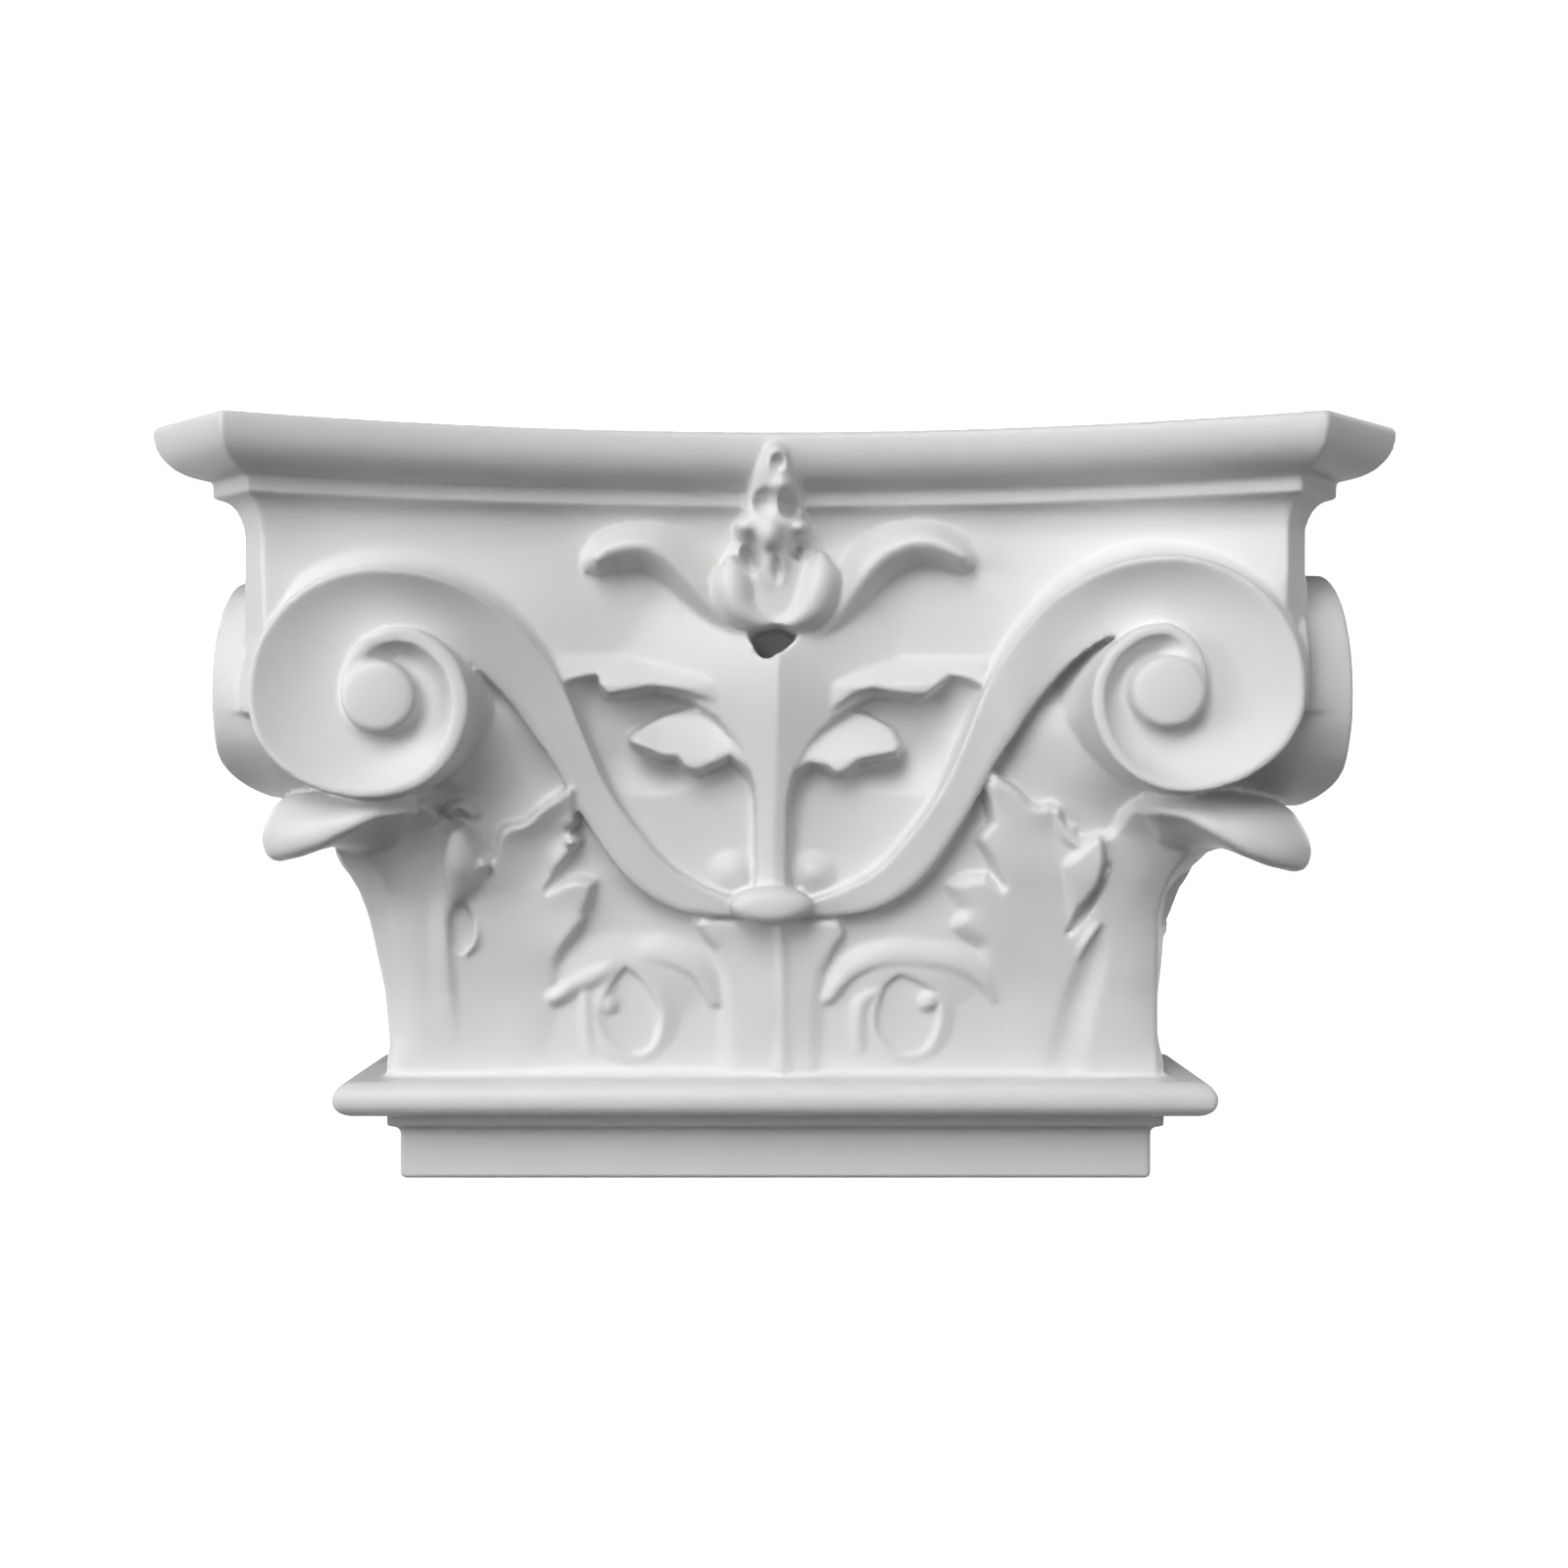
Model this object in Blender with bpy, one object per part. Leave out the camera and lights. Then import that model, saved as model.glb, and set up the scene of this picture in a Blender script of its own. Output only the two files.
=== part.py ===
"""Capital of a pilaster, cast in one piece, with a flat back for the wall.

Sizes are in millimetres, and new_object turns them into metres. "Depth" is counted back from the
front corners of the abacus, so the wall plane is at depth WALL. "Out" is counted sideways from the
middle, the same on both sides. The plan is a square capital cut by the wall: a return side is the
front side seen in a mirror that stands across the corner, so out and depth change places there.
"""

import math

import bmesh
import bpy
import numpy as np

MM = 0.001

# Driving sizes
HALF_WIDTH = 170.6
HEIGHT = 213.0
WALL = 105.6
NECK_FACE = 60.6
ORIGIN_DEPTH = (NECK_FACE + WALL) / 2
BEYOND_WALL = 8.0

# Plan of the abacus: how the corners, the hollow of the front and the canted corners
# change for each millimetre that a moulding stands back from the edge
CORNER_SAGITTA = 31.6
CANT = 26.2
CORNER_SHIFT = 1.2
SAGITTA_SHIFT = -0.2
CANT_SHIFT = -0.985

# Heights of the mouldings
NECK_TOP = 13.4
CAP_TOP = 20.2
ASTRAGAL_TOP = 30.2
BELL_FOOT = 33.5
BELL_TOP = 172.0
COVE_FOOT = 182.0
FILLET_FOOT = 193.8
OVOLO_FOOT = 198.8

# How far the mouldings stand back or out
ASTRAGAL_FACE = 44.2
CAP_FACE = 57.3
BELL_FACE = 58.6
FILLET_INSET = 12.8
COVE_INSET = 20.0

# Volute
EYE_OUT = 106.0
EYE_HEIGHT = 139.0
EYE_RADIUS = 9.4
VOLUTE_FACE = 13.0
VOLUTE_BACK = 44.0
SPIRAL_TURNS = [(0, 37.3), (90, 35.4), (135, 32.0), (180, 26.4), (225, 25.2), (270, 24.2),
                (315, 22.6), (360, 19.6), (405, 14.0), (440, 11.5), (490, 9.6)]

# The mesh of the carving before and after it is thinned out
GRID = 1.6
VOXEL = 1.5
CARVING_TRIANGLES = 7600


def new_object(name, points, faces):
    """Make an object from points (out to the right, depth, height) in millimetres."""
    mesh = bpy.data.meshes.new(name)
    verts = [(x * MM, (depth - ORIGIN_DEPTH) * MM, z * MM) for x, depth, z in points]
    mesh.from_pydata(verts, [], [tuple(face) for face in faces])
    bm = bmesh.new()
    bm.from_mesh(mesh)
    bmesh.ops.recalc_face_normals(bm, faces=bm.faces)
    bm.to_mesh(mesh)
    bm.free()
    obj = bpy.data.objects.new(name, mesh)
    bpy.context.collection.objects.link(obj)
    return obj


def loft(name, rings):
    """Join closed rings of equal length into one solid with a face at each end."""
    count = len(rings[0])
    points = [point for ring in rings for point in ring]
    faces = [list(range(count)), [len(points) - 1 - i for i in range(count)]]
    for row in range(len(rings) - 1):
        for i in range(count):
            j = (i + 1) % count
            low = row * count
            faces.append((low + i, low + j, low + count + j, low + count + i))
    return new_object(name, points, faces)


def curve_through(points, steps):
    """Smooth curve through the points, each with any number of values."""
    control = np.array([points[0], *points, points[-1]], dtype=float)
    curve = []
    for a, b, c, d in zip(control, control[1:], control[2:], control[3:]):
        for step in range(steps):
            t = step / steps
            curve.append(0.5 * (2 * b + (c - a) * t + (2 * a - 5 * b + 4 * c - d) * t ** 2
                                + (3 * b - a - 3 * c + d) * t ** 3))
    curve.append(control[-1])
    return np.array(curve)


def smooth_step(t):
    t = np.clip(t, 0.0, 1.0)
    return t * t * (3 - 2 * t)


# Plan and bell

def plan_ring(corner, sagitta, cant, z, front_steps, side_steps):
    """Outline at height z, from the wall round the left corner, the front and the right corner."""
    corner_out = HALF_WIDTH - corner - cant
    behind_wall = HALF_WIDTH - WALL - BEYOND_WALL

    def depth_at(out):
        return corner + sagitta * (1 - (out / corner_out) ** 2)

    front = [(x, depth_at(x)) for x in np.linspace(-corner_out, corner_out, front_steps + 1)]
    side = [(out, depth_at(out)) for out in np.linspace(behind_wall, corner_out, side_steps + 1)]
    left = [(depth - HALF_WIDTH, HALF_WIDTH - out) for out, depth in side]
    right = [(HALF_WIDTH - depth, HALF_WIDTH - out) for out, depth in reversed(side)]
    return [(x, depth, z) for x, depth in left + front + right]


def abacus_ring(inset, z, front_steps, side_steps):
    return plan_ring(CORNER_SHIFT * inset, CORNER_SAGITTA + SAGITTA_SHIFT * inset,
                     CANT + CANT_SHIFT * inset, z, front_steps, side_steps)


# Height, depth at the corner, depth in the middle and cant of the bell, foot to top
BELL_PROFILE = np.array([
    (BELL_FOOT, BELL_FACE, 58.6, 1.0), (55.0, 57.0, 58.0, 2.0), (70.0, 54.0, 57.6, 3.5),
    (84.0, 50.5, 57.2, 5.0), (100.0, 45.0, 56.5, 6.0), (113.0, 39.0, 55.8, 6.5),
    (126.0, 31.5, 55.0, 6.5), (137.0, 26.8, 54.3, 6.5), (150.0, 25.2, 53.4, 6.5),
    (BELL_TOP, 24.0, 51.8, 6.5), (COVE_FOOT + 6, 24.0, 51.6, 6.5)])


def bell_at(z):
    return [np.interp(z, BELL_PROFILE[:, 0], BELL_PROFILE[:, i]) for i in (1, 2, 3)]


def bell_depth(out, z):
    """Depth of the plain bell at a place of its front."""
    corner, middle, cant = bell_at(z)
    corner_out = HALF_WIDTH - corner - cant
    return corner + (middle - corner) * (1 - (out / corner_out) ** 2)


def mouldings():
    """Neck, astragal and abacus, with a core that stays under the carved bell."""
    front, side = 14, 5
    rings = []
    for face, z in ((NECK_FACE + 0.8, 0.0), (NECK_FACE, 0.8), (NECK_FACE, NECK_TOP)):
        rings.append(plan_ring(face, 0.0, 0.8, z, front, side))
    for angle in (20, 45, 70, 90):
        cove = math.radians(angle)
        rings.append(plan_ring(NECK_FACE - (NECK_FACE - CAP_FACE) * (1 - math.cos(cove)), 0.0, 0.8,
                               NECK_TOP + 2.2 * math.sin(cove), front, side))
    rings.append(plan_ring(CAP_FACE, 0.0, 0.8, CAP_TOP, front, side))
    nose = (ASTRAGAL_TOP - CAP_TOP) / 2
    for angle in (-90, -60, -30, 0, 30, 60, 90):
        roll = math.radians(angle)
        rings.append(plan_ring(ASTRAGAL_FACE + nose * (1 - math.cos(roll)), 0.0, 1.2,
                               CAP_TOP + nose * (1 + math.sin(roll)), front, side))
    rings.append(plan_ring(BELL_FACE - 3.0, 0.0, 1.0, ASTRAGAL_TOP + 0.4, front, side))
    for z in (BELL_FOOT, 70.0, 113.0, 137.0, BELL_TOP):
        corner, middle, cant = (float(value) for value in bell_at(z))
        rings.append(plan_ring(corner + 3.0, middle - corner, cant, z, front, side))
    for angle in (0, 30, 60, 90):
        cove = math.radians(90 - angle)
        rings.append(abacus_ring(COVE_INSET - 6.0 * (1 - math.sin(cove)),
                                 COVE_FOOT + 11.6 * math.cos(cove), front, side))
    rings.append(abacus_ring(FILLET_INSET, FILLET_FOOT + 0.3, front, side))
    rings.append(abacus_ring(FILLET_INSET, OVOLO_FOOT, front, side))
    for angle in (75, 60, 45, 30, 15, 0):
        egg = math.radians(angle)
        rings.append(abacus_ring(FILLET_INSET * (1 - math.cos(egg)),
                                 210.6 - (210.6 - OVOLO_FOOT) * math.sin(egg), front, side))
    rings.append(abacus_ring(0.0, HEIGHT - 0.8, front, side))
    rings.append(abacus_ring(0.8, HEIGHT, front, side))
    return loft("mouldings", rings)


# Relief on the bell: every figure gives its height over the bell at all places at once

def stroke(out, z, path, steps=6):
    """Rounded ridge along a path of (out, height up, rise, width to its left, width to its right)."""
    line = curve_through(path, steps)
    rise = np.zeros_like(out)
    nearest = np.full_like(out, 1e9)
    for a, b in zip(line[:-1], line[1:]):
        along = b[:2] - a[:2]
        length = max(float(np.hypot(*along)), 1e-6)
        t = np.clip(((out - a[0]) * along[0] + (z - a[1]) * along[1]) / length ** 2, 0, 1)
        dx = out - a[0] - t * along[0]
        dz = z - a[1] - t * along[1]
        away = np.hypot(dx, dz)
        left = (along[0] * dz - along[1] * dx) > 0
        here = a + t[..., None] * (b - a)
        width = np.where(left, here[..., 3], here[..., 4])
        height = here[..., 2] * np.clip(1 - (away / np.maximum(width, 0.1)) ** 2, 0, 1) ** 0.75
        closer = away < nearest
        rise = np.where(closer, height, rise)
        nearest = np.minimum(nearest, away)
    return rise


def inside_outline(out, z, outline):
    """Distance in from the nearest edge of a closed outline, negative outside it."""
    corners = np.array(outline, dtype=float)
    away = np.full_like(out, 1e9)
    inside = np.zeros(out.shape, dtype=bool)
    for a, b in zip(corners, np.roll(corners, -1, axis=0)):
        along = b - a
        t = np.clip(((out - a[0]) * along[0] + (z - a[1]) * along[1]) / (along @ along), 0, 1)
        away = np.minimum(away, np.hypot(out - a[0] - t * along[0], z - a[1] - t * along[1]))
        crosses = (a[1] > z) != (b[1] > z)
        at = a[0] + (z - a[1]) * along[0] / (along[1] if along[1] else 1e-9)
        inside ^= crosses & (out < at)
    return np.where(inside, away, -away)


def pad(out, z, outline, rise, edge):
    """Raised figure with a rounded edge. The rise may change from place to place."""
    return rise * smooth_step(inside_outline(out, z, outline) / edge + 0.35)


# Corner leaf: outline of its front half, from the foot at its inner edge up to the corner
LEAF_OUTLINE = [(64, 30), (63.5, 61), (55.5, 76.5), (52.3, 88.3), (64.5, 85), (56, 96), (57.8, 104),
                (57.6, 115.4), (66, 110), (74.5, 104.5), (78.5, 99), (81.5, 89), (84, 99),
                (88, 105.5), (93, 104), (98.5, 112), (128, 116), (128, 30)]

# Lobes of the leaf and its folds: out, height up, rise, widths
LEAF_STROKES = [
    [(57.5, 114.5, 8.0, 3, 9), (66, 108, 8.0, 3, 10), (75, 102, 6.5, 3, 8), (80, 92, 5, 3, 6)],
    [(53.2, 87.6, 5.5, 4, 6), (62, 83, 5.5, 4, 9), (72, 72, 4, 6, 9)],
    [(57, 97, 5.5, 4, 4), (64, 92, 5.5, 5, 6), (74, 82, 4, 6, 6)],
    [(91, 103, 8.5, 4, 5), (90, 95, 8.5, 6, 5), (92, 86, 6.5, 5, 4)],
    [(96, 74, 5.5, 3, 3), (95.5, 60, 5.5, 3, 3), (96, 45, 4.5, 3, 3), (97, 34, 4, 3, 3)],
]

# Small leaf in the middle of the foot, and the scroll-headed arch beside it
FOOT_LEAF = [(0, 30), (15, 30), (15.5, 62), (16.5, 67), (19.5, 71), (19, 76.5), (10, 76.5), (0, 78)]
ARCH = [(16, 52, 3.5, 3, 3), (21, 59, 5, 4, 3), (29, 63, 6, 4, 4), (41, 64.5, 6.5, 4, 4),
        (51, 63.5, 6, 4, 4), (58, 58, 5, 4, 3), (63, 52.5, 4, 3, 3)]
CUP = [(31, 62, 3, 3, 3), (30.5, 50, 4.5, 4, 3), (32, 41, 5, 4, 4), (38.5, 37, 5.5, 4, 4),
       (46, 41, 5, 4, 4), (48.5, 50, 4, 3, 3), (47, 58, 3, 3, 3)]

# Leaf in the middle of the bell: a blade that ends in two lobes, thick at their lower edges
BLADE = [(0, 112), (5.5, 113), (9.5, 120), (13.4, 122), (19, 118), (24, 120), (29, 122.5), (37, 124),
         (41, 128), (33, 133), (20, 138), (28, 141), (38, 140.6), (47.5, 139.7), (51, 144.5),
         (58, 143.5), (52, 149), (40, 156), (22, 168), (14, 172), (0, 160)]

# Horn beside the flower
HORN = [(5, 155, 6, 5, 5), (12, 162, 8, 6, 6), (20, 171, 10, 8, 8), (28, 179.5, 11.5, 8, 8),
        (37, 184, 12, 8, 8), (46, 183, 11, 8, 6), (52.5, 178.5, 8, 4, 3)]


def front_relief(x, z):
    """Height of the whole carving over the bell."""
    out = np.abs(x)
    leaf = pad(out, z, LEAF_OUTLINE, 3.6, 4.0)
    for path in LEAF_STROKES:
        leaf = np.maximum(leaf, stroke(out, z, path))
    foot = pad(out, z, FOOT_LEAF, 3.5, 4.0)
    foot = np.maximum(foot, stroke(out, z, [(1.5, 78, 6, 3, 3), (1, 60, 5.5, 3, 3), (0.5, 32, 4.5, 3, 3)]))
    arch = np.maximum(stroke(out, z, ARCH), stroke(out, z, CUP))
    blade_rise = 7.0 - 4.0 * smooth_step((z - 143) / 26)
    blade_rise = np.where(z < 139, 7.5 - 0.18 * (z - 118), blade_rise)
    blade = pad(out, z, BLADE, blade_rise, 3.0)
    stem = stroke(out, z, [(0, 156, 9.5, 7, 7), (0, 140, 9, 6, 6), (0, 115, 8.5, 6, 6),
                           (0, 104, 8, 5, 5), (0, 84, 8, 6, 6)])
    horn = stroke(out, z, HORN)
    seed = stroke(out, z, [(8, 88, 4, 5, 5), (13, 91, 3, 5, 5)])
    rise = np.zeros_like(out)
    for figure in (leaf, foot, arch, blade, stem, horn, seed):
        rise = np.maximum(rise, figure)
    return rise


def carved_bell():
    """The bell with its relief, run through the wall plane so that it can be cut there."""
    heights = np.arange(ASTRAGAL_TOP - 1.0, COVE_FOOT + 10.0, GRID)
    front_steps = int(250 / GRID)
    side_steps = int(80 / GRID)
    rings = []
    for z in heights:
        corner, middle, cant = (float(value) for value in bell_at(z))
        ring = np.array(plan_ring(corner, middle - corner, cant, z, front_steps, side_steps))
        side = side_steps + 1
        front = ring[side:-side]
        front[:, 1] -= front_relief(front[:, 0], front[:, 2])
        for part, sign in ((ring[:side], -1), (ring[-side:], 1)):
            part[:, 0] += sign * front_relief(HALF_WIDTH - part[:, 1], part[:, 2])
        rings.append([tuple(point) for point in ring])
    return loft("bell", rings)


def volute_height(radius, outer, inner, eye):
    """Height of a volute's face: rounded rim, hollow channel, and the eye inside them."""
    inward = outer - radius
    band = np.maximum(outer - inner, 1.0)
    rim = -2.2 * np.clip(1 - inward / 2.2, 0, 1) ** 2
    fall = smooth_step((inward - 2.2) / 4.0)
    climb = np.clip((inward - 5.0) / np.maximum(band - 5.0, 1.0), 0, 1) ** 2
    depth = np.minimum(4.6, band * 0.45)
    channel = rim - depth * fall * (1 - 0.45 * climb)
    return np.where(eye, 1.2 - 1.6 * (radius / EYE_RADIUS) ** 4, channel)


def volute(sign):
    """Disc with the spiral on its face, laid out round the eye."""
    turns = np.array(SPIRAL_TURNS, dtype=float)
    angles = np.linspace(0, 360, 61)[:-1]
    shares = np.linspace(0, 1, 17)[1:]
    points = [(sign * EYE_OUT, VOLUTE_FACE - 1.2, EYE_HEIGHT)]
    for angle in angles:
        outer = float(np.interp(angle, turns[:, 0], turns[:, 1]))
        inner = float(np.interp(angle + 360, turns[:, 0], turns[:, 1]))
        turn = math.radians(angle)
        for share in shares:
            radius = outer * share
            in_inner_turn = radius < inner
            edge = inner if in_inner_turn else outer
            next_edge = EYE_RADIUS if in_inner_turn else max(inner, EYE_RADIUS)
            height = float(volute_height(radius, edge, next_edge, radius <= EYE_RADIUS))
            points.append((sign * (EYE_OUT + radius * math.sin(turn)), VOLUTE_FACE - height,
                           EYE_HEIGHT + radius * math.cos(turn)))
        points.append((points[-1][0], VOLUTE_BACK, points[-1][2]))
    ring = len(shares) + 1
    count = len(angles)
    faces = []
    for i in range(count):
        this = 1 + i * ring
        after = 1 + ((i + 1) % count) * ring
        faces.append((0, this, after))
        for j in range(ring - 1):
            faces.append((this + j, this + j + 1, after + j + 1, after + j))
    faces.append([1 + i * ring + ring - 1 for i in range(count)])
    return new_object("volute", points, faces)


# Stalk from the volute down to the middle: upper edge and lower edge as (out, height up, depth)
STALK_UPPER = [(112, 175.9, 13), (104, 176.2, 13), (95, 174.5, 14.5), (86, 170.5, 18), (73, 162.5, 27),
               (59.6, 143, 39), (49.5, 118.2, 44), (40.8, 104.2, 46.5), (28.4, 90.1, 49.5),
               (13, 82.6, 51), (4, 82, 51)]
STALK_LOWER = [(108, 158.5, 14), (103, 158.6, 14), (95, 157.5, 16), (83.1, 151.2, 24), (71.4, 134.6, 36),
               (63.8, 122.3, 41), (55, 106, 45), (42.3, 87.4, 48), (28.4, 78.6, 50), (13, 76.6, 51),
               (4, 76.6, 51)]


def stalk(sign):
    """Band with a rim on each edge and a hollow between them."""
    upper = curve_through(STALK_UPPER, 4)
    lower = curve_through(STALK_LOWER, 4)
    rings = []
    for high, low in zip(upper, lower):
        width = float(np.hypot(*(high - low)[:2]))
        hollow = min(3.2, 0.2 * width)
        section = ((0.0, -9.0), (0.0, -2.2), (0.1, -0.3), (0.2, -0.4), (0.5, -hollow), (0.82, -0.8),
                   (0.92, -0.5), (1.0, -2.2), (1.0, -9.0))
        ring = []
        for share, height in section:
            out, z, depth = high + (low - high) * share
            if height <= -9.0:
                depth = bell_depth(out, z) + 4.0
                height = 0.0
            ring.append((sign * out, float(depth) - height, z))
        rings.append(ring)
    return loft("stalk", rings)


# Tip of the corner leaf: how far its middle is from the corner diagonal's end, height up,
# half width and thickness
TIP_SECTIONS = [(46, 84, 14, 6), (41, 96, 24, 8), (34, 104.5, 32, 9), (27, 106.5, 27, 9.5),
                (21, 103.8, 18, 9), (17.6, 99.5, 10, 7)]


def leaf_tip(sign):
    """Tongue that leaves the bell under the volutes and rolls over outwards."""
    sections = curve_through(TIP_SECTIONS, 3)
    rings = []
    for i, (inward, z, half, thick) in enumerate(sections):
        before = sections[max(i - 1, 0)]
        after = sections[min(i + 1, len(sections) - 1)]
        tangent = np.array([after[0] - before[0], after[1] - before[1]])
        tangent = tangent / np.hypot(*tangent)
        normal = np.array([tangent[1], -tangent[0]])
        ring = []
        for angle in np.linspace(0, 2 * math.pi, 17)[:-1]:
            wide = half * math.cos(angle)
            high = thick / 2 * math.sin(angle)
            sink = 0.35 * abs(wide) ** 1.5 / half ** 0.5
            along = inward + normal[0] * high + sink
            up = z + normal[1] * high
            x = HALF_WIDTH - CANT / 2 - along + wide / math.sqrt(2)
            depth = CANT / 2 + along + wide / math.sqrt(2)
            ring.append((sign * x, depth, up))
        rings.append(ring)
    return loft("leaf tip", rings)


def blob(name, centre, size, tilt=0.0):
    """Rounded lump, its size given as half width, half depth and half height."""
    bm = bmesh.new()
    bmesh.ops.create_icosphere(bm, subdivisions=3, radius=1.0)
    points = []
    for vert in bm.verts:
        x, y, z = (a * b for a, b in zip(vert.co, size))
        turned = (x * math.cos(tilt) - z * math.sin(tilt), x * math.sin(tilt) + z * math.cos(tilt))
        points.append((centre[0] + turned[0], centre[1] + y, centre[2] + turned[1]))
    faces = [[vert.index for vert in face.verts] for face in bm.faces]
    bm.free()
    return new_object(name, points, faces)


def flower():
    """Bud that climbs the abacus, four petals under it, and the boss where the stalks meet."""
    lumps = [blob("bud", (0.4, 37, 204), (5.0, 8.5, 8)), blob("bud", (0.2, 41, 194), (7.4, 9, 11)),
             blob("bud", (-0.5, 43, 184), (10.5, 9.5, 9)), blob("bud", (0, 44, 172), (8, 8, 11)),
             blob("boss", (-1.2, 50, 80.8), (11.6, 8.5, 5.0))]
    for sign in (-1, 1):
        lumps.append(blob("petal", (sign * 12, 43, 169.5), (5.0, 7, 9), sign * 0.35))
        lumps.append(blob("petal", (sign * 5.5, 42, 163), (5.0, 7.5, 5.5), sign * -0.5))
    return lumps


def mirrored(obj, sign):
    """The same figure on the return side: out and depth change places across the corner."""
    points = []
    for vert in obj.data.vertices:
        x = vert.co.x / MM
        depth = vert.co.y / MM + ORIGIN_DEPTH
        points.append((sign * (HALF_WIDTH - depth), HALF_WIDTH - sign * x, vert.co.z / MM))
    return new_object(obj.name, points, [face.vertices[:] for face in obj.data.polygons])


def carving():
    """All carved figures, melted into one skin and thinned out."""
    figures = [carved_bell()] + flower()
    for sign in (-1, 1):
        for figure in (volute(sign), stalk(sign)):
            figures.append(figure)
            figures.append(mirrored(figure, sign))
        figures.append(leaf_tip(sign))
    bm = bmesh.new()
    for figure in figures:
        bm.from_mesh(figure.data)
        bpy.data.objects.remove(figure)
    body = new_object("carving", [], [])
    bm.to_mesh(body.data)
    bm.free()
    remesh = body.modifiers.new("one skin", "REMESH")
    remesh.mode = "VOXEL"
    remesh.voxel_size = VOXEL * MM
    evaluated = body.evaluated_get(bpy.context.evaluated_depsgraph_get())
    triangles = sum(len(face.vertices) - 2 for face in evaluated.data.polygons)
    thin = body.modifiers.new("thinned out", "DECIMATE")
    thin.ratio = CARVING_TRIANGLES / triangles
    return body


def baked(obj):
    """Replace an object's mesh by its evaluated one."""
    evaluated = obj.evaluated_get(bpy.context.evaluated_depsgraph_get())
    mesh = bpy.data.meshes.new_from_object(evaluated)
    obj.modifiers.clear()
    obj.data = mesh
    return obj


def helper(obj):
    obj.hide_render = True
    obj.display_type = "WIRE"
    return obj


def room_before_wall():
    """Box that holds everything in front of the wall plane, from the underside to the top."""
    side = HALF_WIDTH + 20
    rings = []
    for z in (-20, HEIGHT + 20):
        rings.append([(-side, -20, z), (side, -20, z), (side, WALL, z), (-side, WALL, z)])
    return helper(loft("room", rings))


def casting_material():
    """White primer over a rigid foam casting."""
    material = bpy.data.materials.new("white primed foam")
    material.use_nodes = True
    shader = material.node_tree.nodes["Principled BSDF"]
    shader.inputs["Base Color"].default_value = (0.80, 0.80, 0.79, 1)
    shader.inputs["Roughness"].default_value = 0.45
    return material


def pilaster_capital():
    body = mouldings()
    body.name = "pilaster_capital"
    skin = helper(baked(carving()))
    union = body.modifiers.new("carving", "BOOLEAN")
    union.operation = "UNION"
    union.object = skin
    cut = body.modifiers.new("wall", "BOOLEAN")
    cut.operation = "INTERSECT"
    cut.object = room_before_wall()
    body.data.materials.append(casting_material())
    return body


for old in list(bpy.data.objects):
    bpy.data.objects.remove(old)
pilaster_capital()
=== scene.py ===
import math

import bmesh
import bpy
import numpy as np
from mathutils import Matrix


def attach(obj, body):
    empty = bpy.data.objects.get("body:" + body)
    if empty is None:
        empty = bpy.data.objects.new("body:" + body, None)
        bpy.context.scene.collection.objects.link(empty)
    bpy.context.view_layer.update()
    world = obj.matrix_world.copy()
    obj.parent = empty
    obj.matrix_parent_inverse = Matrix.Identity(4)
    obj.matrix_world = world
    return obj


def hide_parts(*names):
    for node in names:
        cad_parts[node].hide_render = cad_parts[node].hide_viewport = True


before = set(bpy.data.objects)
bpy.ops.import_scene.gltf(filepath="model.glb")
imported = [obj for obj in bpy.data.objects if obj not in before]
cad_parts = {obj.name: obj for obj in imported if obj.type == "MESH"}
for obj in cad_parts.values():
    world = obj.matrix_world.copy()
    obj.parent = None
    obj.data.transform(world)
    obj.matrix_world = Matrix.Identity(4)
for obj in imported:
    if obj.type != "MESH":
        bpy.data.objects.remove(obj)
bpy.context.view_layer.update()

# Straight mouldings: the neck that sits on the pilaster shaft, the astragal over it, and the abacus.
# The real ones are part of one rigid foam casting, and were run to a profile in the master model.
# Sizes are in millimetres. Depth is counted back from the front corners of the abacus, "out" is
# counted sideways from the middle. A return side is the front seen in a mirror across the corner.
MM = 0.001
HALF_WIDTH = 170.6
HEIGHT = 213.0
WALL = 105.6
NECK_FACE = 60.6
ORIGIN_DEPTH = (NECK_FACE + WALL) / 2
BEYOND_WALL = 8.0

CORNER_SAGITTA = 31.6
CANT = 26.2
CORNER_SHIFT = 1.2
SAGITTA_SHIFT = -0.2
CANT_SHIFT = -0.985

NECK_TOP = 13.4
CAP_TOP = 20.2
ASTRAGAL_TOP = 30.2
BELL_FOOT = 33.5
BELL_TOP = 172.0
COVE_FOOT = 182.0
FILLET_FOOT = 193.8
OVOLO_FOOT = 198.8
ASTRAGAL_FACE = 44.2
CAP_FACE = 57.3
BELL_FACE = 58.6
FILLET_INSET = 12.8
COVE_INSET = 20.0


def to_frame(points):
    """From (out to the right, depth, height) in millimetres to metres in the frame."""
    points = np.asarray(points, dtype=float).reshape(-1, 3)
    return (points - (0.0, ORIGIN_DEPTH, 0.0)) * MM


def solid(name, points, faces):
    mesh = bpy.data.meshes.new(name)
    mesh.from_pydata(to_frame(points).tolist(), [], faces)
    obj = bpy.data.objects.new(name, mesh)
    bpy.context.collection.objects.link(obj)
    return obj


def loft(name, rings):
    """Closed rings of equal length joined into one solid, with a face at each end."""
    rings = np.asarray(rings, dtype=float)
    rows, count = rings.shape[:2]
    place = np.arange(rows * count).reshape(rows, count)
    beside = np.roll(place, -1, axis=1)
    sides = np.stack([place[:-1], beside[:-1], beside[1:], place[1:]], axis=-1).reshape(-1, 4)
    faces = sides.tolist() + [place[0].tolist(), place[-1][::-1].tolist()]
    return solid(name, rings, faces)


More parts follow.
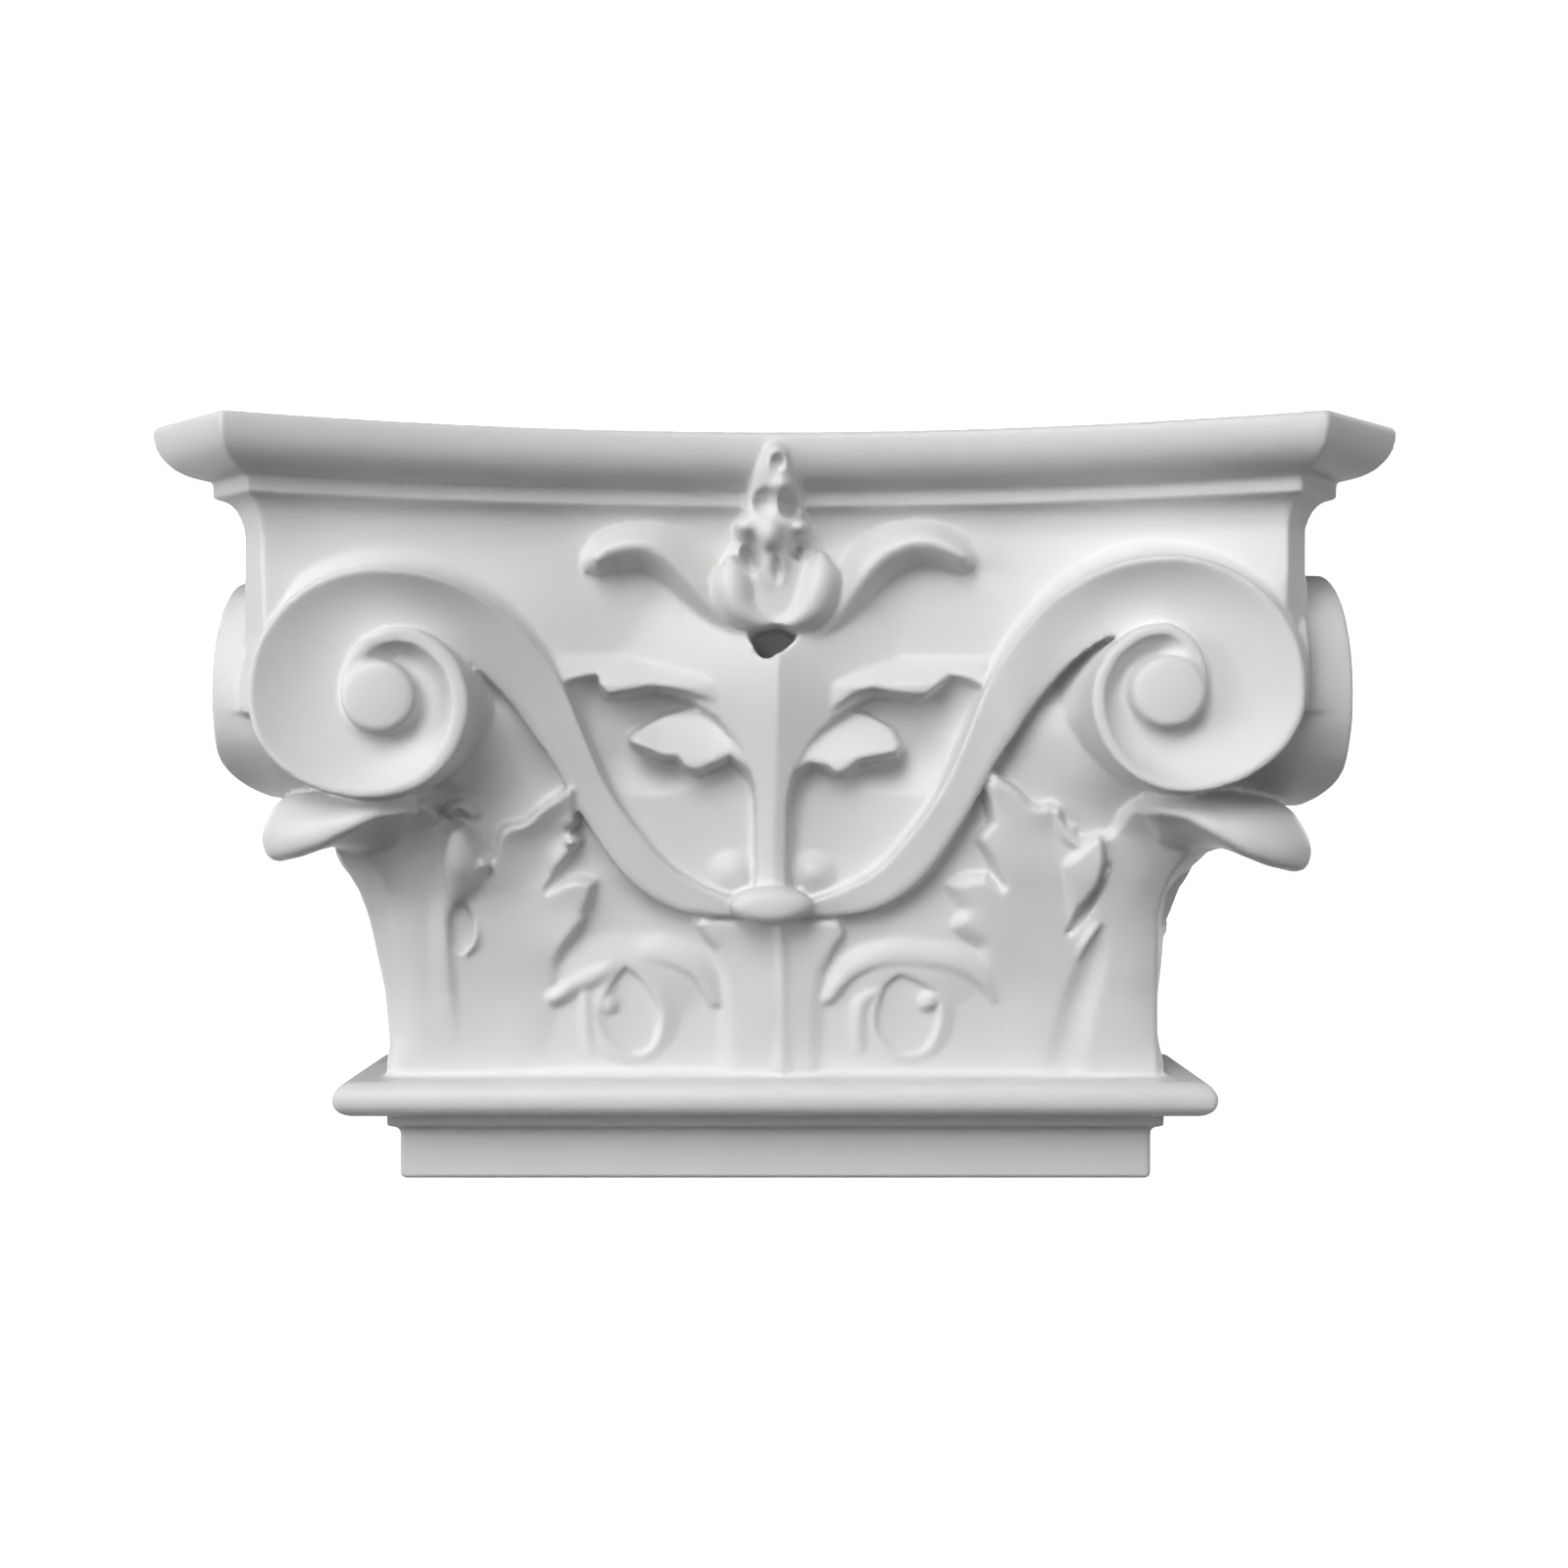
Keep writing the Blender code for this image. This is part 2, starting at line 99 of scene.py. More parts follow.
def plan_ring(corner, sagitta, cant, z, front_steps, side_steps):
    """Outline at height z, from the wall round the left corner, the front and the right corner."""
    corner_out = HALF_WIDTH - corner - cant
    behind_wall = HALF_WIDTH - WALL - BEYOND_WALL
    front = np.linspace(-corner_out, corner_out, front_steps + 1)
    side = np.linspace(behind_wall, corner_out, side_steps + 1)
    front_depth = corner + sagitta * (1 - (front / corner_out) ** 2)
    side_depth = corner + sagitta * (1 - (side / corner_out) ** 2)
    left = np.stack([side_depth - HALF_WIDTH, HALF_WIDTH - side], axis=-1)
    right = np.stack([HALF_WIDTH - side_depth, HALF_WIDTH - side], axis=-1)[::-1]
    plan = np.concatenate([left, np.stack([front, front_depth], axis=-1), right])
    return np.column_stack([plan, np.full(len(plan), z)])


def abacus_plan(inset):
    return (CORNER_SHIFT * inset, CORNER_SAGITTA + SAGITTA_SHIFT * inset, CANT + CANT_SHIFT * inset)


def moulding_rows():
    """Corner depth, hollow, cant and height of every row of the mouldings, foot to top."""
    rows = [(NECK_FACE + 0.8, 0.0, 0.8, 0.0), (NECK_FACE, 0.0, 0.8, 0.8), (NECK_FACE, 0.0, 0.8, NECK_TOP)]
    for angle in np.radians(range(10, 91, 10)):
        rows.append((NECK_FACE - (NECK_FACE - CAP_FACE) * (1 - math.cos(angle)), 0.0, 0.8,
                     NECK_TOP + 2.2 * math.sin(angle)))
    rows.append((CAP_FACE, 0.0, 0.8, CAP_TOP))
    nose = (ASTRAGAL_TOP - CAP_TOP) / 2
    for angle in np.radians(range(-90, 91, 10)):
        rows.append((ASTRAGAL_FACE + nose * (1 - math.cos(angle)), 0.0, 1.2,
                     CAP_TOP + nose * (1 + math.sin(angle))))
    for angle in np.radians(range(0, 91, 15)):
        rows.append((BELL_FACE - 3.3 * (1 - math.sin(angle)), 0.0, 1.0,
                     ASTRAGAL_TOP + 3.3 * (1 - math.cos(angle))))
    rows += [(BELL_FACE + 3, 0.0, 1.0, 60.0), (48.0, 14.0, 5.0, 100.0), (30.0, 28.0, 6.5, BELL_TOP)]
    for angle in np.radians(range(0, 91, 10)):
        corner, sagitta, cant = abacus_plan(COVE_INSET - 6.0 * (1 - math.cos(angle)))
        rows.append((corner, sagitta, cant, COVE_FOOT + 11.6 * math.sin(angle)))
    rows.append((*abacus_plan(FILLET_INSET), FILLET_FOOT + 0.3))
    rows.append((*abacus_plan(FILLET_INSET), OVOLO_FOOT))
    for angle in np.radians(range(80, -1, -10)):
        rows.append((*abacus_plan(FILLET_INSET * (1 - math.cos(angle))),
                     210.6 - (210.6 - OVOLO_FOOT) * math.sin(angle)))
    rows.append((*abacus_plan(0.0), HEIGHT - 0.8))
    rows.append((*abacus_plan(0.8), HEIGHT))
    return rows


figures = [loft("mouldings", [plan_ring(*row[:3], row[3], 96, 24) for row in moulding_rows()])]


# Corner leaves: one acanthus leaf wraps each corner of the bell. Its front half is a low sheet with
# lobed edges that stand off the bell. Every figure on the bell gives its rise over the plain bell at
# all places at once, and where figures cross, the higher one shows.

def smooth_step(t):
    t = np.clip(t, 0.0, 1.0)
    return t * t * (3 - 2 * t)


def curve_through(points, steps):
    """Smooth curve through the points, each with any number of values."""
    control = np.array([points[0], *points, points[-1]], dtype=float)
    t = np.linspace(0, 1, steps, endpoint=False)[:, None]
    parts = []
    for a, b, c, d in zip(control, control[1:], control[2:], control[3:]):
        parts.append(0.5 * (2 * b + (c - a) * t + (2 * a - 5 * b + 4 * c - d) * t ** 2
                            + (3 * b - a - 3 * c + d) * t ** 3))
    return np.concatenate(parts + [control[-1:]])


def crowned(out, z, points):
    """Thin bent sheet through points of (out, height up, rise)."""
    known = np.array(points, dtype=float)[:, :3]

    def bend(dx, dz):
        square = dx * dx + dz * dz
        return square * np.log(square + 1e-9)

    count = len(known)
    flat = np.column_stack([np.ones(count), known[:, :2]])
    system = np.zeros((count + 3, count + 3))
    system[:count, :count] = bend(known[:, None, 0] - known[None, :, 0],
                                  known[:, None, 1] - known[None, :, 1])
    system[:count, :count] += np.eye(count) * 2.0
    system[:count, count:] = flat
    system[count:, :count] = flat.T
    weight = np.linalg.solve(system, np.concatenate([known[:, 2], np.zeros(3)]))
    rise = weight[count] + weight[count + 1] * out + weight[count + 2] * z
    for (px, pz, _), share in zip(known, weight):
        rise += share * bend(out - px, z - pz)
    return rise


def sheet(out, z, outline, crown=(), steps=1):
    """Raised sheet. Outline points are (out, height up, rise, width of the edge), crown points lack the width."""
    edge = np.array(outline, dtype=float)
    if steps > 1:
        edge = curve_through([*outline, outline[0]], steps)[:-1]
    rise = np.zeros_like(out)
    near = ((out > edge[:, 0].min() - 1) & (out < edge[:, 0].max() + 1)
            & (z > edge[:, 1].min() - 1) & (z < edge[:, 1].max() + 1))
    if not near.any():
        return rise
    x, y = out[near], z[near]
    away = np.full_like(x, 1e9)
    width = np.ones_like(x)
    inside = np.zeros(x.shape, dtype=bool)
    for a, b in zip(edge, np.roll(edge, -1, axis=0)):
        along = b[:2] - a[:2]
        length = max(float(along @ along), 1e-9)
        t = np.clip(((x - a[0]) * along[0] + (y - a[1]) * along[1]) / length, 0, 1)
        gap = np.hypot(x - a[0] - t * along[0], y - a[1] - t * along[1])
        width = np.where(gap < away, a[3] + t * (b[3] - a[3]), width)
        away = np.minimum(away, gap)
        crosses = (a[1] > y) != (b[1] > y)
        inside ^= crosses & (x < a[0] + (y - a[1]) * along[0] / (along[1] if along[1] else 1e-9))
    t = np.clip(away / width, 0, 1)
    round_edge = np.sqrt(1 - (1 - t) ** 2)
    soft = smooth_step((width - 3) / 4)
    fall = round_edge + (smooth_step(t) - round_edge) * soft
    known = [tuple(point[:3]) for point in outline] + [tuple(point) for point in crown]
    rise[near] = np.where(inside, np.maximum(crowned(x, y, known), 0) * fall, 0)
    return rise


def stroke(out, z, path, steps=6, flank=2.0, crest=(0.75, 0.75)):
    """Ridge along a path of (out, height up, rise, width to its left, width to its right)."""
    line = curve_through(path, steps)
    rise = np.zeros_like(out)
    nearest = np.full_like(out, 1e9)
    for a, b in zip(line[:-1], line[1:]):
        along = b[:2] - a[:2]
        length = max(float(np.hypot(*along)), 1e-6)
        t = np.clip(((out - a[0]) * along[0] + (z - a[1]) * along[1]) / length ** 2, 0, 1)
        dx = out - a[0] - t * along[0]
        dz = z - a[1] - t * along[1]
        away = np.hypot(dx, dz)
        left = (along[0] * dz - along[1] * dx) > 0
        here = a + t[..., None] * (b - a)
        width = np.where(left, here[..., 3], here[..., 4])
        fall = np.where(left, crest[0], crest[1])
        height = here[..., 2] * np.clip(1 - (away / np.maximum(width, 0.1)) ** flank, 0, 1) ** fall
        rise = np.where(away < nearest, height, rise)
        nearest = np.minimum(nearest, away)
    return rise


def mound(out, z, centre, size, rise, power=0.5):
    """Rounded lump, or a hollow where the rise is negative."""
    square = ((out - centre[0]) / size[0]) ** 2 + ((z - centre[1]) / size[1]) ** 2
    return rise * np.clip(1 - square, 0, 1) ** power


LEFT_LEAF = [
    (68, 22, 0.1, 3), (65, 44, 0.2, 3), (62.8, 62.4, 2.2, 3), (61.1, 67.4, 4.2, 2.2), (57.5, 72.1, 5, 2),
    (54.1, 76.6, 5.5, 2), (54.7, 78.5, 5.6, 2), (52.7, 81.9, 6, 2.2), (51.4, 87.5, 6.3, 2.6),
    (56.1, 88.8, 6.8, 3), (60.3, 88.0, 6.4, 3), (65.4, 84.8, 4.4, 2), (62.2, 90.6, 5.6, 2),
    (57.8, 96.0, 6.6, 2), (56.0, 99.5, 7.2, 2.4), (58.7, 102.0, 6.2, 2), (56.6, 103.7, 8, 1.6),
    (56.2, 113.7, 11.6, 1.6), (57.4, 115.8, 11.8, 2), (60.3, 113.5, 11.6, 2), (64.5, 110.9, 11.2, 2),
    (68.6, 107.4, 10.6, 2), (71.4, 104.8, 10, 2), (76.3, 104.2, 9.4, 2.2), (78.8, 101.6, 8.8, 2.2),
    (80.2, 95.8, 6, 2.2), (82.2, 88.8, 4.2, 2), (84, 95.5, 5.6, 2.4), (86.2, 101.5, 6.6, 2.6),
    (89, 104.6, 6.8, 2.6), (93.2, 105.0, 6.4, 2.6), (95, 108.4, 6.6, 2.6), (98.5, 111.6, 7, 3),
    (104, 113, 6, 6), (160, 116, 2.4, 6), (160, 22, 1.6, 4)]
LEFT_CROWN = [
    (60, 107, 7.6), (60, 100, 4.2), (66, 103, 6.4), (68, 96, 3.6), (74, 98, 5.4), (75, 90, 3.6), (64, 90, 3.6),
    (62, 80, 4.4), (72, 82, 3.2), (80, 74, 3.0), (74, 62, 2.2), (72, 45, 1.2), (82, 45, 1.2), (90, 40, 1.4),
    (100, 45, 2.0), (100, 62, 2.6), (100, 80, 3.2), (98, 94, 4.0), (106, 100, 3.2), (110, 70, 2.2), (110, 45, 1.8),
    (120, 90, 2.3), (130, 60, 2.0)]


def left_leaf(out, z):
    rise = sheet(out, z, LEFT_LEAF, LEFT_CROWN)
    leaflet = sheet(out, z, [(92, 102.9, 10, 2.2), (88.7, 104.0, 11, 2.2), (85.9, 101.3, 11, 2.2),
                             (83.8, 95.9, 9, 2.2), (82.4, 89.6, 6.4, 2), (84.6, 85.6, 5.4, 2),
                             (87.4, 82.8, 5.2, 2), (92.4, 80.4, 4.4, 2.4), (95.2, 87.6, 5, 3),
                             (94.6, 97.3, 9, 3)], [(89, 97, 12.4), (88.6, 91, 11.4), (90, 85, 8)], 2)
    rise = np.maximum(rise, leaflet)
    rise = rise - stroke(out, z, [(95, 103.4, 2.4, 1.4, 1.4), (91.6, 105.9, 4.2, 1.5, 1.5), (88.2, 105.6, 4.6, 1.5, 1.5),
                                  (85.4, 102.4, 4.2, 1.5, 1.5), (83.6, 97.4, 2.6, 1.3, 1.3)])
    rise = np.maximum(rise, mound(out, z, (82.7, 92.5), (2.2, 2.4), 9.4, 0.5))
    rise = np.maximum(rise, mound(out, z, (58.3, 98.7), (2.4, 2.0), 8.6, 0.5))
    rib = [(94.8, 85, 0.4, 4, 1.2), (94.4, 74, 1.8, 5, 1.2), (94.2, 60, 1.6, 5.4, 1.4), (93.6, 44, 0.2, 5, 2)]
    rise = rise + stroke(out, z, rib, flank=1.4, crest=(1.0, 0.8))
    lip = [(91, 65.6, 2.6, 1.8, 1.8), (88, 67.6, 4.4, 2, 2), (86.2, 71.6, 4.6, 1.9, 1.9), (86.6, 76, 3.2, 1.6, 1.6)]
    rise = np.maximum(rise, stroke(out, z, lip))
    rise = rise + mound(out, z, (90.2, 74.4), (3.4, 7.4), -10.0, 0.6)
    curls = np.maximum(stroke(out, z, [(101.4, 110, 7.8, 2, 2), (98.6, 112.4, 9.2, 2.2, 2.2)]),
                       stroke(out, z, [(91.6, 107.6, 8, 1.8, 1.8), (88.6, 109.4, 9, 2, 2), (86.2, 107.2, 7, 1.6, 1.6)]))
    rise = np.maximum(rise, curls)
    return rise


RIGHT_LEAF = [
    (68, 22, 0.1, 3), (65, 44, 0.2, 3), (60.6, 56.8, 1.0, 3), (58.4, 67.4, 2.8, 5), (53.6, 70.7, 3.0, 4.4),
    (50.5, 73.9, 3.2, 4), (52.5, 76.6, 4.0, 3.4), (54.2, 79.1, 3.4, 4), (51.4, 82.2, 3.6, 4.4),
    (48.6, 86.6, 4, 4.4), (54.2, 89.6, 4.8, 4.4), (60.6, 89.8, 5.4, 3.4), (65.0, 86.0, 5.2, 2.8),
    (62.5, 91.7, 5.6, 2.2), (59.7, 96.4, 6, 2.2), (57.8, 99.2, 6.2, 2.2), (59.2, 102.4, 6.6, 2.4),
    (61.4, 104.4, 6.4, 2.2), (61.1, 107.0, 7, 2.2), (60.1, 111.2, 8, 2.4), (59.3, 114, 8.4, 2.6),
    (60.3, 117.2, 8.8, 2.8), (62.0, 119.9, 9, 3), (65.3, 117, 8.8, 3), (69.5, 114.2, 8.4, 3),
    (72.9, 110.3, 7.8, 3), (75.1, 109.4, 7.4, 2.6), (77.9, 110.3, 7, 2.2), (79.8, 107.8, 6.2, 2),
    (80.3, 104.2, 5.6, 2), (82.6, 102.5, 5.4, 2), (84.9, 103.9, 5.2, 2), (86.6, 100.2, 4.6, 2),
    (90, 101.4, 4, 2), (96.6, 103.6, 5, 2.2), (97.6, 107.4, 6, 2.4), (100.4, 110, 6.8, 2.8),
    (105.2, 111.4, 6.8, 3.4), (110, 112, 6, 6), (160, 116, 2.4, 6), (160, 22, 1.6, 4)]
RIGHT_CROWN = [
    (66, 111, 7.8), (65, 104, 7), (69, 98, 6.4), (75, 102, 6.6), (72, 90, 5.4), (60, 84, 4.8), (66, 75, 3.8),
    (78, 84, 4.6), (74, 62, 2.2), (72, 45, 1.2), (80, 50, 1.8), (96, 90, 4.4), (102, 100, 5.0), (102, 85, 4.4),
    (101.6, 60, 3.4), (101, 42, 2.4), (108, 50, 2.4), (109, 70, 2.8), (108, 90, 3.0), (96, 60, 3.0), (120, 90, 2.3),
    (130, 60, 2.0), (122, 40, 1.8)]


def right_leaf(out, z):
    rise = sheet(out, z, RIGHT_LEAF, RIGHT_CROWN)
    groove = stroke(out, z, [(93.5, 73, 1.0, 3, 3), (91, 62, 1.7, 5, 5), (87.5, 50, 1.6, 6, 6),
                             (84, 34, 0.8, 6.5, 6.5)], crest=(1.8, 1.8))
    rise = np.maximum(rise - groove, 0)
    pocket = sheet(out, z, [(87.5, 99.6, 3, 2), (89.8, 105, 3, 2), (96.6, 104.8, 3, 2), (96.8, 100.6, 3, 2)])
    rise = np.maximum(rise - pocket, 0)
    lobe = sheet(out, z, [(82.0, 89.6, 7, 2.4), (81.5, 92.8, 7.4, 2.4), (84.4, 95.6, 8, 2.4),
                          (87.4, 98.6, 8.4, 2.4), (92.6, 101.2, 8.6, 2.2), (94.0, 93.2, 8.4, 1.8),
                          (91.4, 84.6, 8, 1.6), (87.5, 79.5, 6.4, 1.6), (84, 72.3, 4.4, 1.6),
                          (83.6, 80, 6, 2.2)], [(88, 92, 8.2), (86.5, 86, 7.4)], 2)
    slit = stroke(out, z, [(94.8, 92, 2, 1.1, 1.3), (92.2, 85, 3.4, 1.2, 1.3), (88.8, 78.4, 3.4, 1.2, 1.2),
                           (84.8, 72.6, 2, 1.1, 1.1)])
    rise = np.maximum(rise - slit, 0.4)
    rise = np.maximum(rise, lobe)
    rise = np.maximum(rise, stroke(out, z, [(92.4, 75, 5, 2, 2), (89.5, 70.5, 5.4, 2.4, 2.4), (87.4, 65.5, 3.6, 2, 2)]))
    curl = [(79.6, 107.5, 6.6, 2, 2), (81.6, 102, 7.2, 2.4, 2.4), (85.4, 98.4, 6.8, 2.6, 2.6), (90, 97, 6, 2, 2)]
    rise = np.maximum(rise, stroke(out, z, curl))
    return rise


# Foot of the bell: a small leaf in the middle with a rib and two hooked lobes, and on each side of it
# a leafy arch that curls over a small cup. Low relief, worn soft by the mould and the primer.

FOOT_LEAF = [
    (-19, 22, 0.8, 8), (-16.5, 48, 2, 5), (-15.8, 60, 2.6, 4), (-17.4, 67, 3.2, 2.8), (-19.8, 69.6, 4, 2.6),
    (-23.4, 74.6, 5, 2.2), (-22.4, 77, 5.2, 2.4), (-12.7, 77, 4.6, 3.4), (-6, 78, 3.8, 4), (0, 79, 3.4, 4),
    (10.4, 77, 4.4, 3.4), (18.8, 76.8, 5.2, 2.4), (20.6, 72, 4.8, 2.2), (17.2, 66.4, 3.6, 2.6),
    (14.6, 60, 2.6, 4), (14.3, 48, 2, 5), (17, 22, 0.8, 8)]
FOOT_CROWN = [(-8, 70, 3.4), (8, 70, 3.4), (-9, 50, 2.4), (9, 50, 2.2), (-8, 38, 1.8), (8, 38, 1.8), (0, 50, 3.2)]
# Thin crests of the two arches and of the soft rib beside each cup, from the middle outwards
LEFT_ARCH = [[(17.9, 52.4, 2.0, 4, 2.4), (23, 60.6, 3.0, 7, 2.8), (30.7, 64.3, 2.8, 8, 3), (37, 64.8, 2.4, 8, 3),
              (43, 63.6, 1.6, 6, 2.4)],
             [(43.6, 63.2, 1.4, 4, 3), (48, 61.8, 2.8, 5, 4), (54, 59, 3.4, 5, 4.6), (58, 57.4, 2.6, 4, 4),
              (62, 54.6, 2.8, 3.4, 3.4), (64.6, 52.8, 2.0, 2.8, 2.8)],
             [(55.4, 57, 1.6, 3, 3), (54.8, 48, 2.2, 2.8, 2.8), (54, 38, 0.4, 2.6, 2.6)]]
LEFT_CUP = [(43.4, 63.2, 1, 1.8), (48.6, 56, 1.2, 3), (51.4, 48.7, 1.2, 3), (49.5, 42, 1, 3), (44, 37.4, 1.4, 2),
            (38, 37, 1.8, 1.8), (34, 42, 2, 1.8), (33.2, 50, 1.8, 2), (37, 57.5, 1.4, 2.2)]
RIGHT_ARCH = [[(15.7, 53.2, 2.4, 4, 2.4), (22, 60.4, 3.2, 7, 2.8), (30.9, 63.8, 3.0, 8, 3), (41.4, 64.2, 3.0, 8, 3.4),
               (53.3, 62.8, 3.0, 7, 4), (60, 58.8, 2.8, 5, 3.4), (63.4, 53.6, 1.6, 3, 2.6)],
              [(30, 55, 2.2, 3, 3), (25.4, 52, 2.4, 3.4, 3.4), (24.4, 44, 1.8, 3.4, 3.4), (24.6, 36, 0.4, 3, 3)]]
RIGHT_CUP = [(36.2, 60.2, 2.4, 1.8), (46.6, 55.0, 1.8, 1.8), (47.6, 45.7, 1.6, 2), (45, 39.4, 1.8, 1.8),
             (39.9, 36.6, 2.2, 1.8), (33.2, 38.3, 1.6, 2.4), (29.0, 45.7, 1.6, 2), (31.4, 56.2, 2, 2)]


def foot(x, z):
    out = np.abs(x)
    rise = sheet(x, z, FOOT_LEAF, FOOT_CROWN)
    rib = [(1.6, 76, 4.4, 7, 8), (2, 60, 4.0, 8, 9), (2, 34, 2.8, 8, 9)]
    rise = np.maximum(rise, stroke(x, z, rib, flank=1.0, crest=(1.0, 1.0)))
    for side, arches, cup, middle in ((-1, LEFT_ARCH, LEFT_CUP, (42, 50)), (1, RIGHT_ARCH, RIGHT_CUP, (38.6, 49))):
        here = np.where(side * x > 0, out, 1e3)
        rise = np.maximum(rise, mound(here, z, (middle[0], 60), (27, 13), 2.4, 1.3))
        rise = np.maximum(rise, mound(here, z, middle, (15, 17), 3.6, 1.1))
        for arch in arches:
            rise = np.maximum(rise, stroke(here, z, arch, crest=(1.6, 1.1)))
        floor_points = [(middle[0], middle[1] + 6, 5.4), (middle[0] - 1, middle[1] - 1, 4.0),
                        (middle[0] - 1.4, middle[1] - 8, 2.6)]
        rise = rise - sheet(here, z, cup, floor_points, 3)
    knobs = (((-48.6, 51.2), (3.6, 3.6), 2.4), ((44.4, 51.9), (3.4, 3.2), 3.2), ((-64, 53.4), (3.4, 3.0), 3.0))
    for centre, size, height in knobs:
        rise = np.maximum(rise, mound(x, z, centre, size, height, 1.0))
    return rise


# Middle leaf: a stem that rises from the boss and opens into a calyx, with a two-lobed blade to each
# side. The lower edges of the lobes are thick and throw shade, their upper edges melt into the bell.

STEM = [
    (-6.2, 80, 16, 3), (-5.7, 100, 16, 3), (-5.8, 110, 16, 3), (-7.4, 118, 16, 3), (-10.4, 126, 16, 3),
    (-17, 134, 16, 3), (-26, 140, 16, 3), (-46, 146, 16, 3), (-52, 178, 16, 2), (52, 178, 16, 2),
    (46, 146, 16, 3), (26, 140, 16, 3), (17, 134, 16, 3), (9.6, 126, 16, 3),
    (5.6, 118, 16, 3), (3.8, 110, 16, 3), (3.6, 100, 16, 3), (3.8, 80, 16, 3)]
STEM_FOLD = [(-0.8, 78, 8.4, 30, 30), (-0.4, 100, 9.6, 34, 30), (0.2, 114, 11, 38, 32), (0.6, 130, 13.2, 46, 36),
             (0.9, 142, 14.6, 50, 40), (0.9, 152, 14, 46, 36), (0.9, 162, 11, 40, 32), (0.9, 172, 7, 34, 28)]
# Lower edge of the upper lobes, from the tip inwards, as (out, height up, rise)
LEFT_BLADE = [
    (64, 141.4, 2.4), (62.6, 142.2, 5.4), (56.5, 144.5, 7), (50.8, 146.0, 8), (50.0, 142.8, 8), (47.5, 139.6, 8.4),
    (41.1, 140.8, 9), (35.2, 142.2, 9.2), (28.7, 141.3, 9.4), (20, 138.8, 9), (12, 136, 8), (4, 134, 8)]
BLADE_LIP = 1.8
BLADE_MIDDLE = 142.5
BLADE_FADE = 11.0
LEFT_LOBE = [
    (20.2, 138.6, 1, 1.5), (25.6, 137.4, 1.0, 1.5), (32.6, 135.2, 1.6, 1.5), (39, 131.6, 3.4, 2),
    (42.9, 128.9, 6.2, 2.6), (41.6, 126.4, 8, 2), (38.2, 124.9, 9.2, 2), (31.8, 122.2, 10, 2),
    (28.1, 122.1, 10, 2), (26.1, 119.3, 10.4, 2), (22.2, 117.9, 10.4, 2), (16.6, 120.2, 10, 2.2),
    (12.9, 122.2, 9.4, 2.2), (9.3, 119.0, 8.8, 2.2), (5, 114, 8, 3), (4, 140, 5, 4)]
RIGHT_BLADE = [
    (61, 141.2, 2.4), (59.5, 142.0, 5.4), (54.6, 144.6, 7), (49.8, 145.6, 8), (46.7, 142.7, 8), (42.5, 139.4, 8.4),
    (35.1, 139.9, 9), (27.8, 141.6, 9.4), (22.2, 139.9, 9.2), (18, 136.4, 9), (12, 134, 8), (4, 132, 8)]
RIGHT_LOBE = [
    (18, 137.6, 1, 1.5), (24.7, 136.4, 1.2, 1.5), (29.2, 134.4, 2.0, 1.5), (34.3, 131.4, 4, 2),
    (37.2, 126.2, 7.4, 2.4), (35.1, 123.1, 9, 2), (29.2, 122.2, 9.8, 2), (23.9, 121.1, 10, 2),
    (20.5, 117.9, 10.4, 2), (17.4, 117.1, 10.4, 2), (14.1, 119.4, 10, 2.2), (10.1, 120.2, 9.4, 2.2),
    (6.2, 117.4, 8.8, 2.2), (3, 112.5, 8, 3), (3, 140, 5, 4)]


def flower_hollow(x, z):
    """Dark three-cornered pocket where the petals spring from the calyx."""
    pocket = sheet(x, z, [(-7.6, 158.2, 3.6, 1.6), (0.6, 160.6, 6.6, 1.6), (7, 158, 4, 1.6), (2.8, 153.6, 4, 1.6),
                          (-2.2, 150.6, 4, 1.6), (-5, 152.4, 6, 1.6)], [(0.8, 156.6, 14), (-4, 153.4, 12)])
    return np.minimum(pocket * 4, 34)


def blade(out, z, edge):
    """Upper lobe: a thick crisp lower edge, and an upper side that melts into the bell."""
    edge = np.array(edge[::-1], dtype=float)
    above = z - np.interp(out, edge[:, 0], edge[:, 1])
    rise = np.interp(out, edge[:, 0], edge[:, 2], left=0, right=0)
    lip = np.sqrt(1 - (1 - np.clip(above / BLADE_LIP, 0, 1)) ** 2)
    return rise * lip * (1 - smooth_step((z - BLADE_MIDDLE) / BLADE_FADE))


def middle_leaf(x, z):
    fold = stroke(x, z, STEM_FOLD, 6, 1.0, (1.25, 1.15))
    rise = np.minimum(sheet(x, z, STEM), fold)
    for side, edge, lobe in ((-1, LEFT_BLADE, LEFT_LOBE), (1, RIGHT_BLADE, RIGHT_LOBE)):
        here = side * x
        rise = np.maximum(rise, blade(here, z, edge))
        rise = np.maximum(rise, sheet(here, z, lobe, [(24, 131, 4.8), (16, 130, 5.6), (32, 127, 7)]))
    for centre, size, height in (((-12.6, 90.0), (8, 7), 2.8), ((10.8, 89.6), (8.6, 7.2), 4.2)):
        rise = np.maximum(rise, mound(x, z, centre, size, height, 1.6))
    return rise


# Horns: a long leaf tip springs from each side of the flower and curls down at its end. Its upper side
# runs into the bell, its front edge catches the light, and its underside falls back into shade.

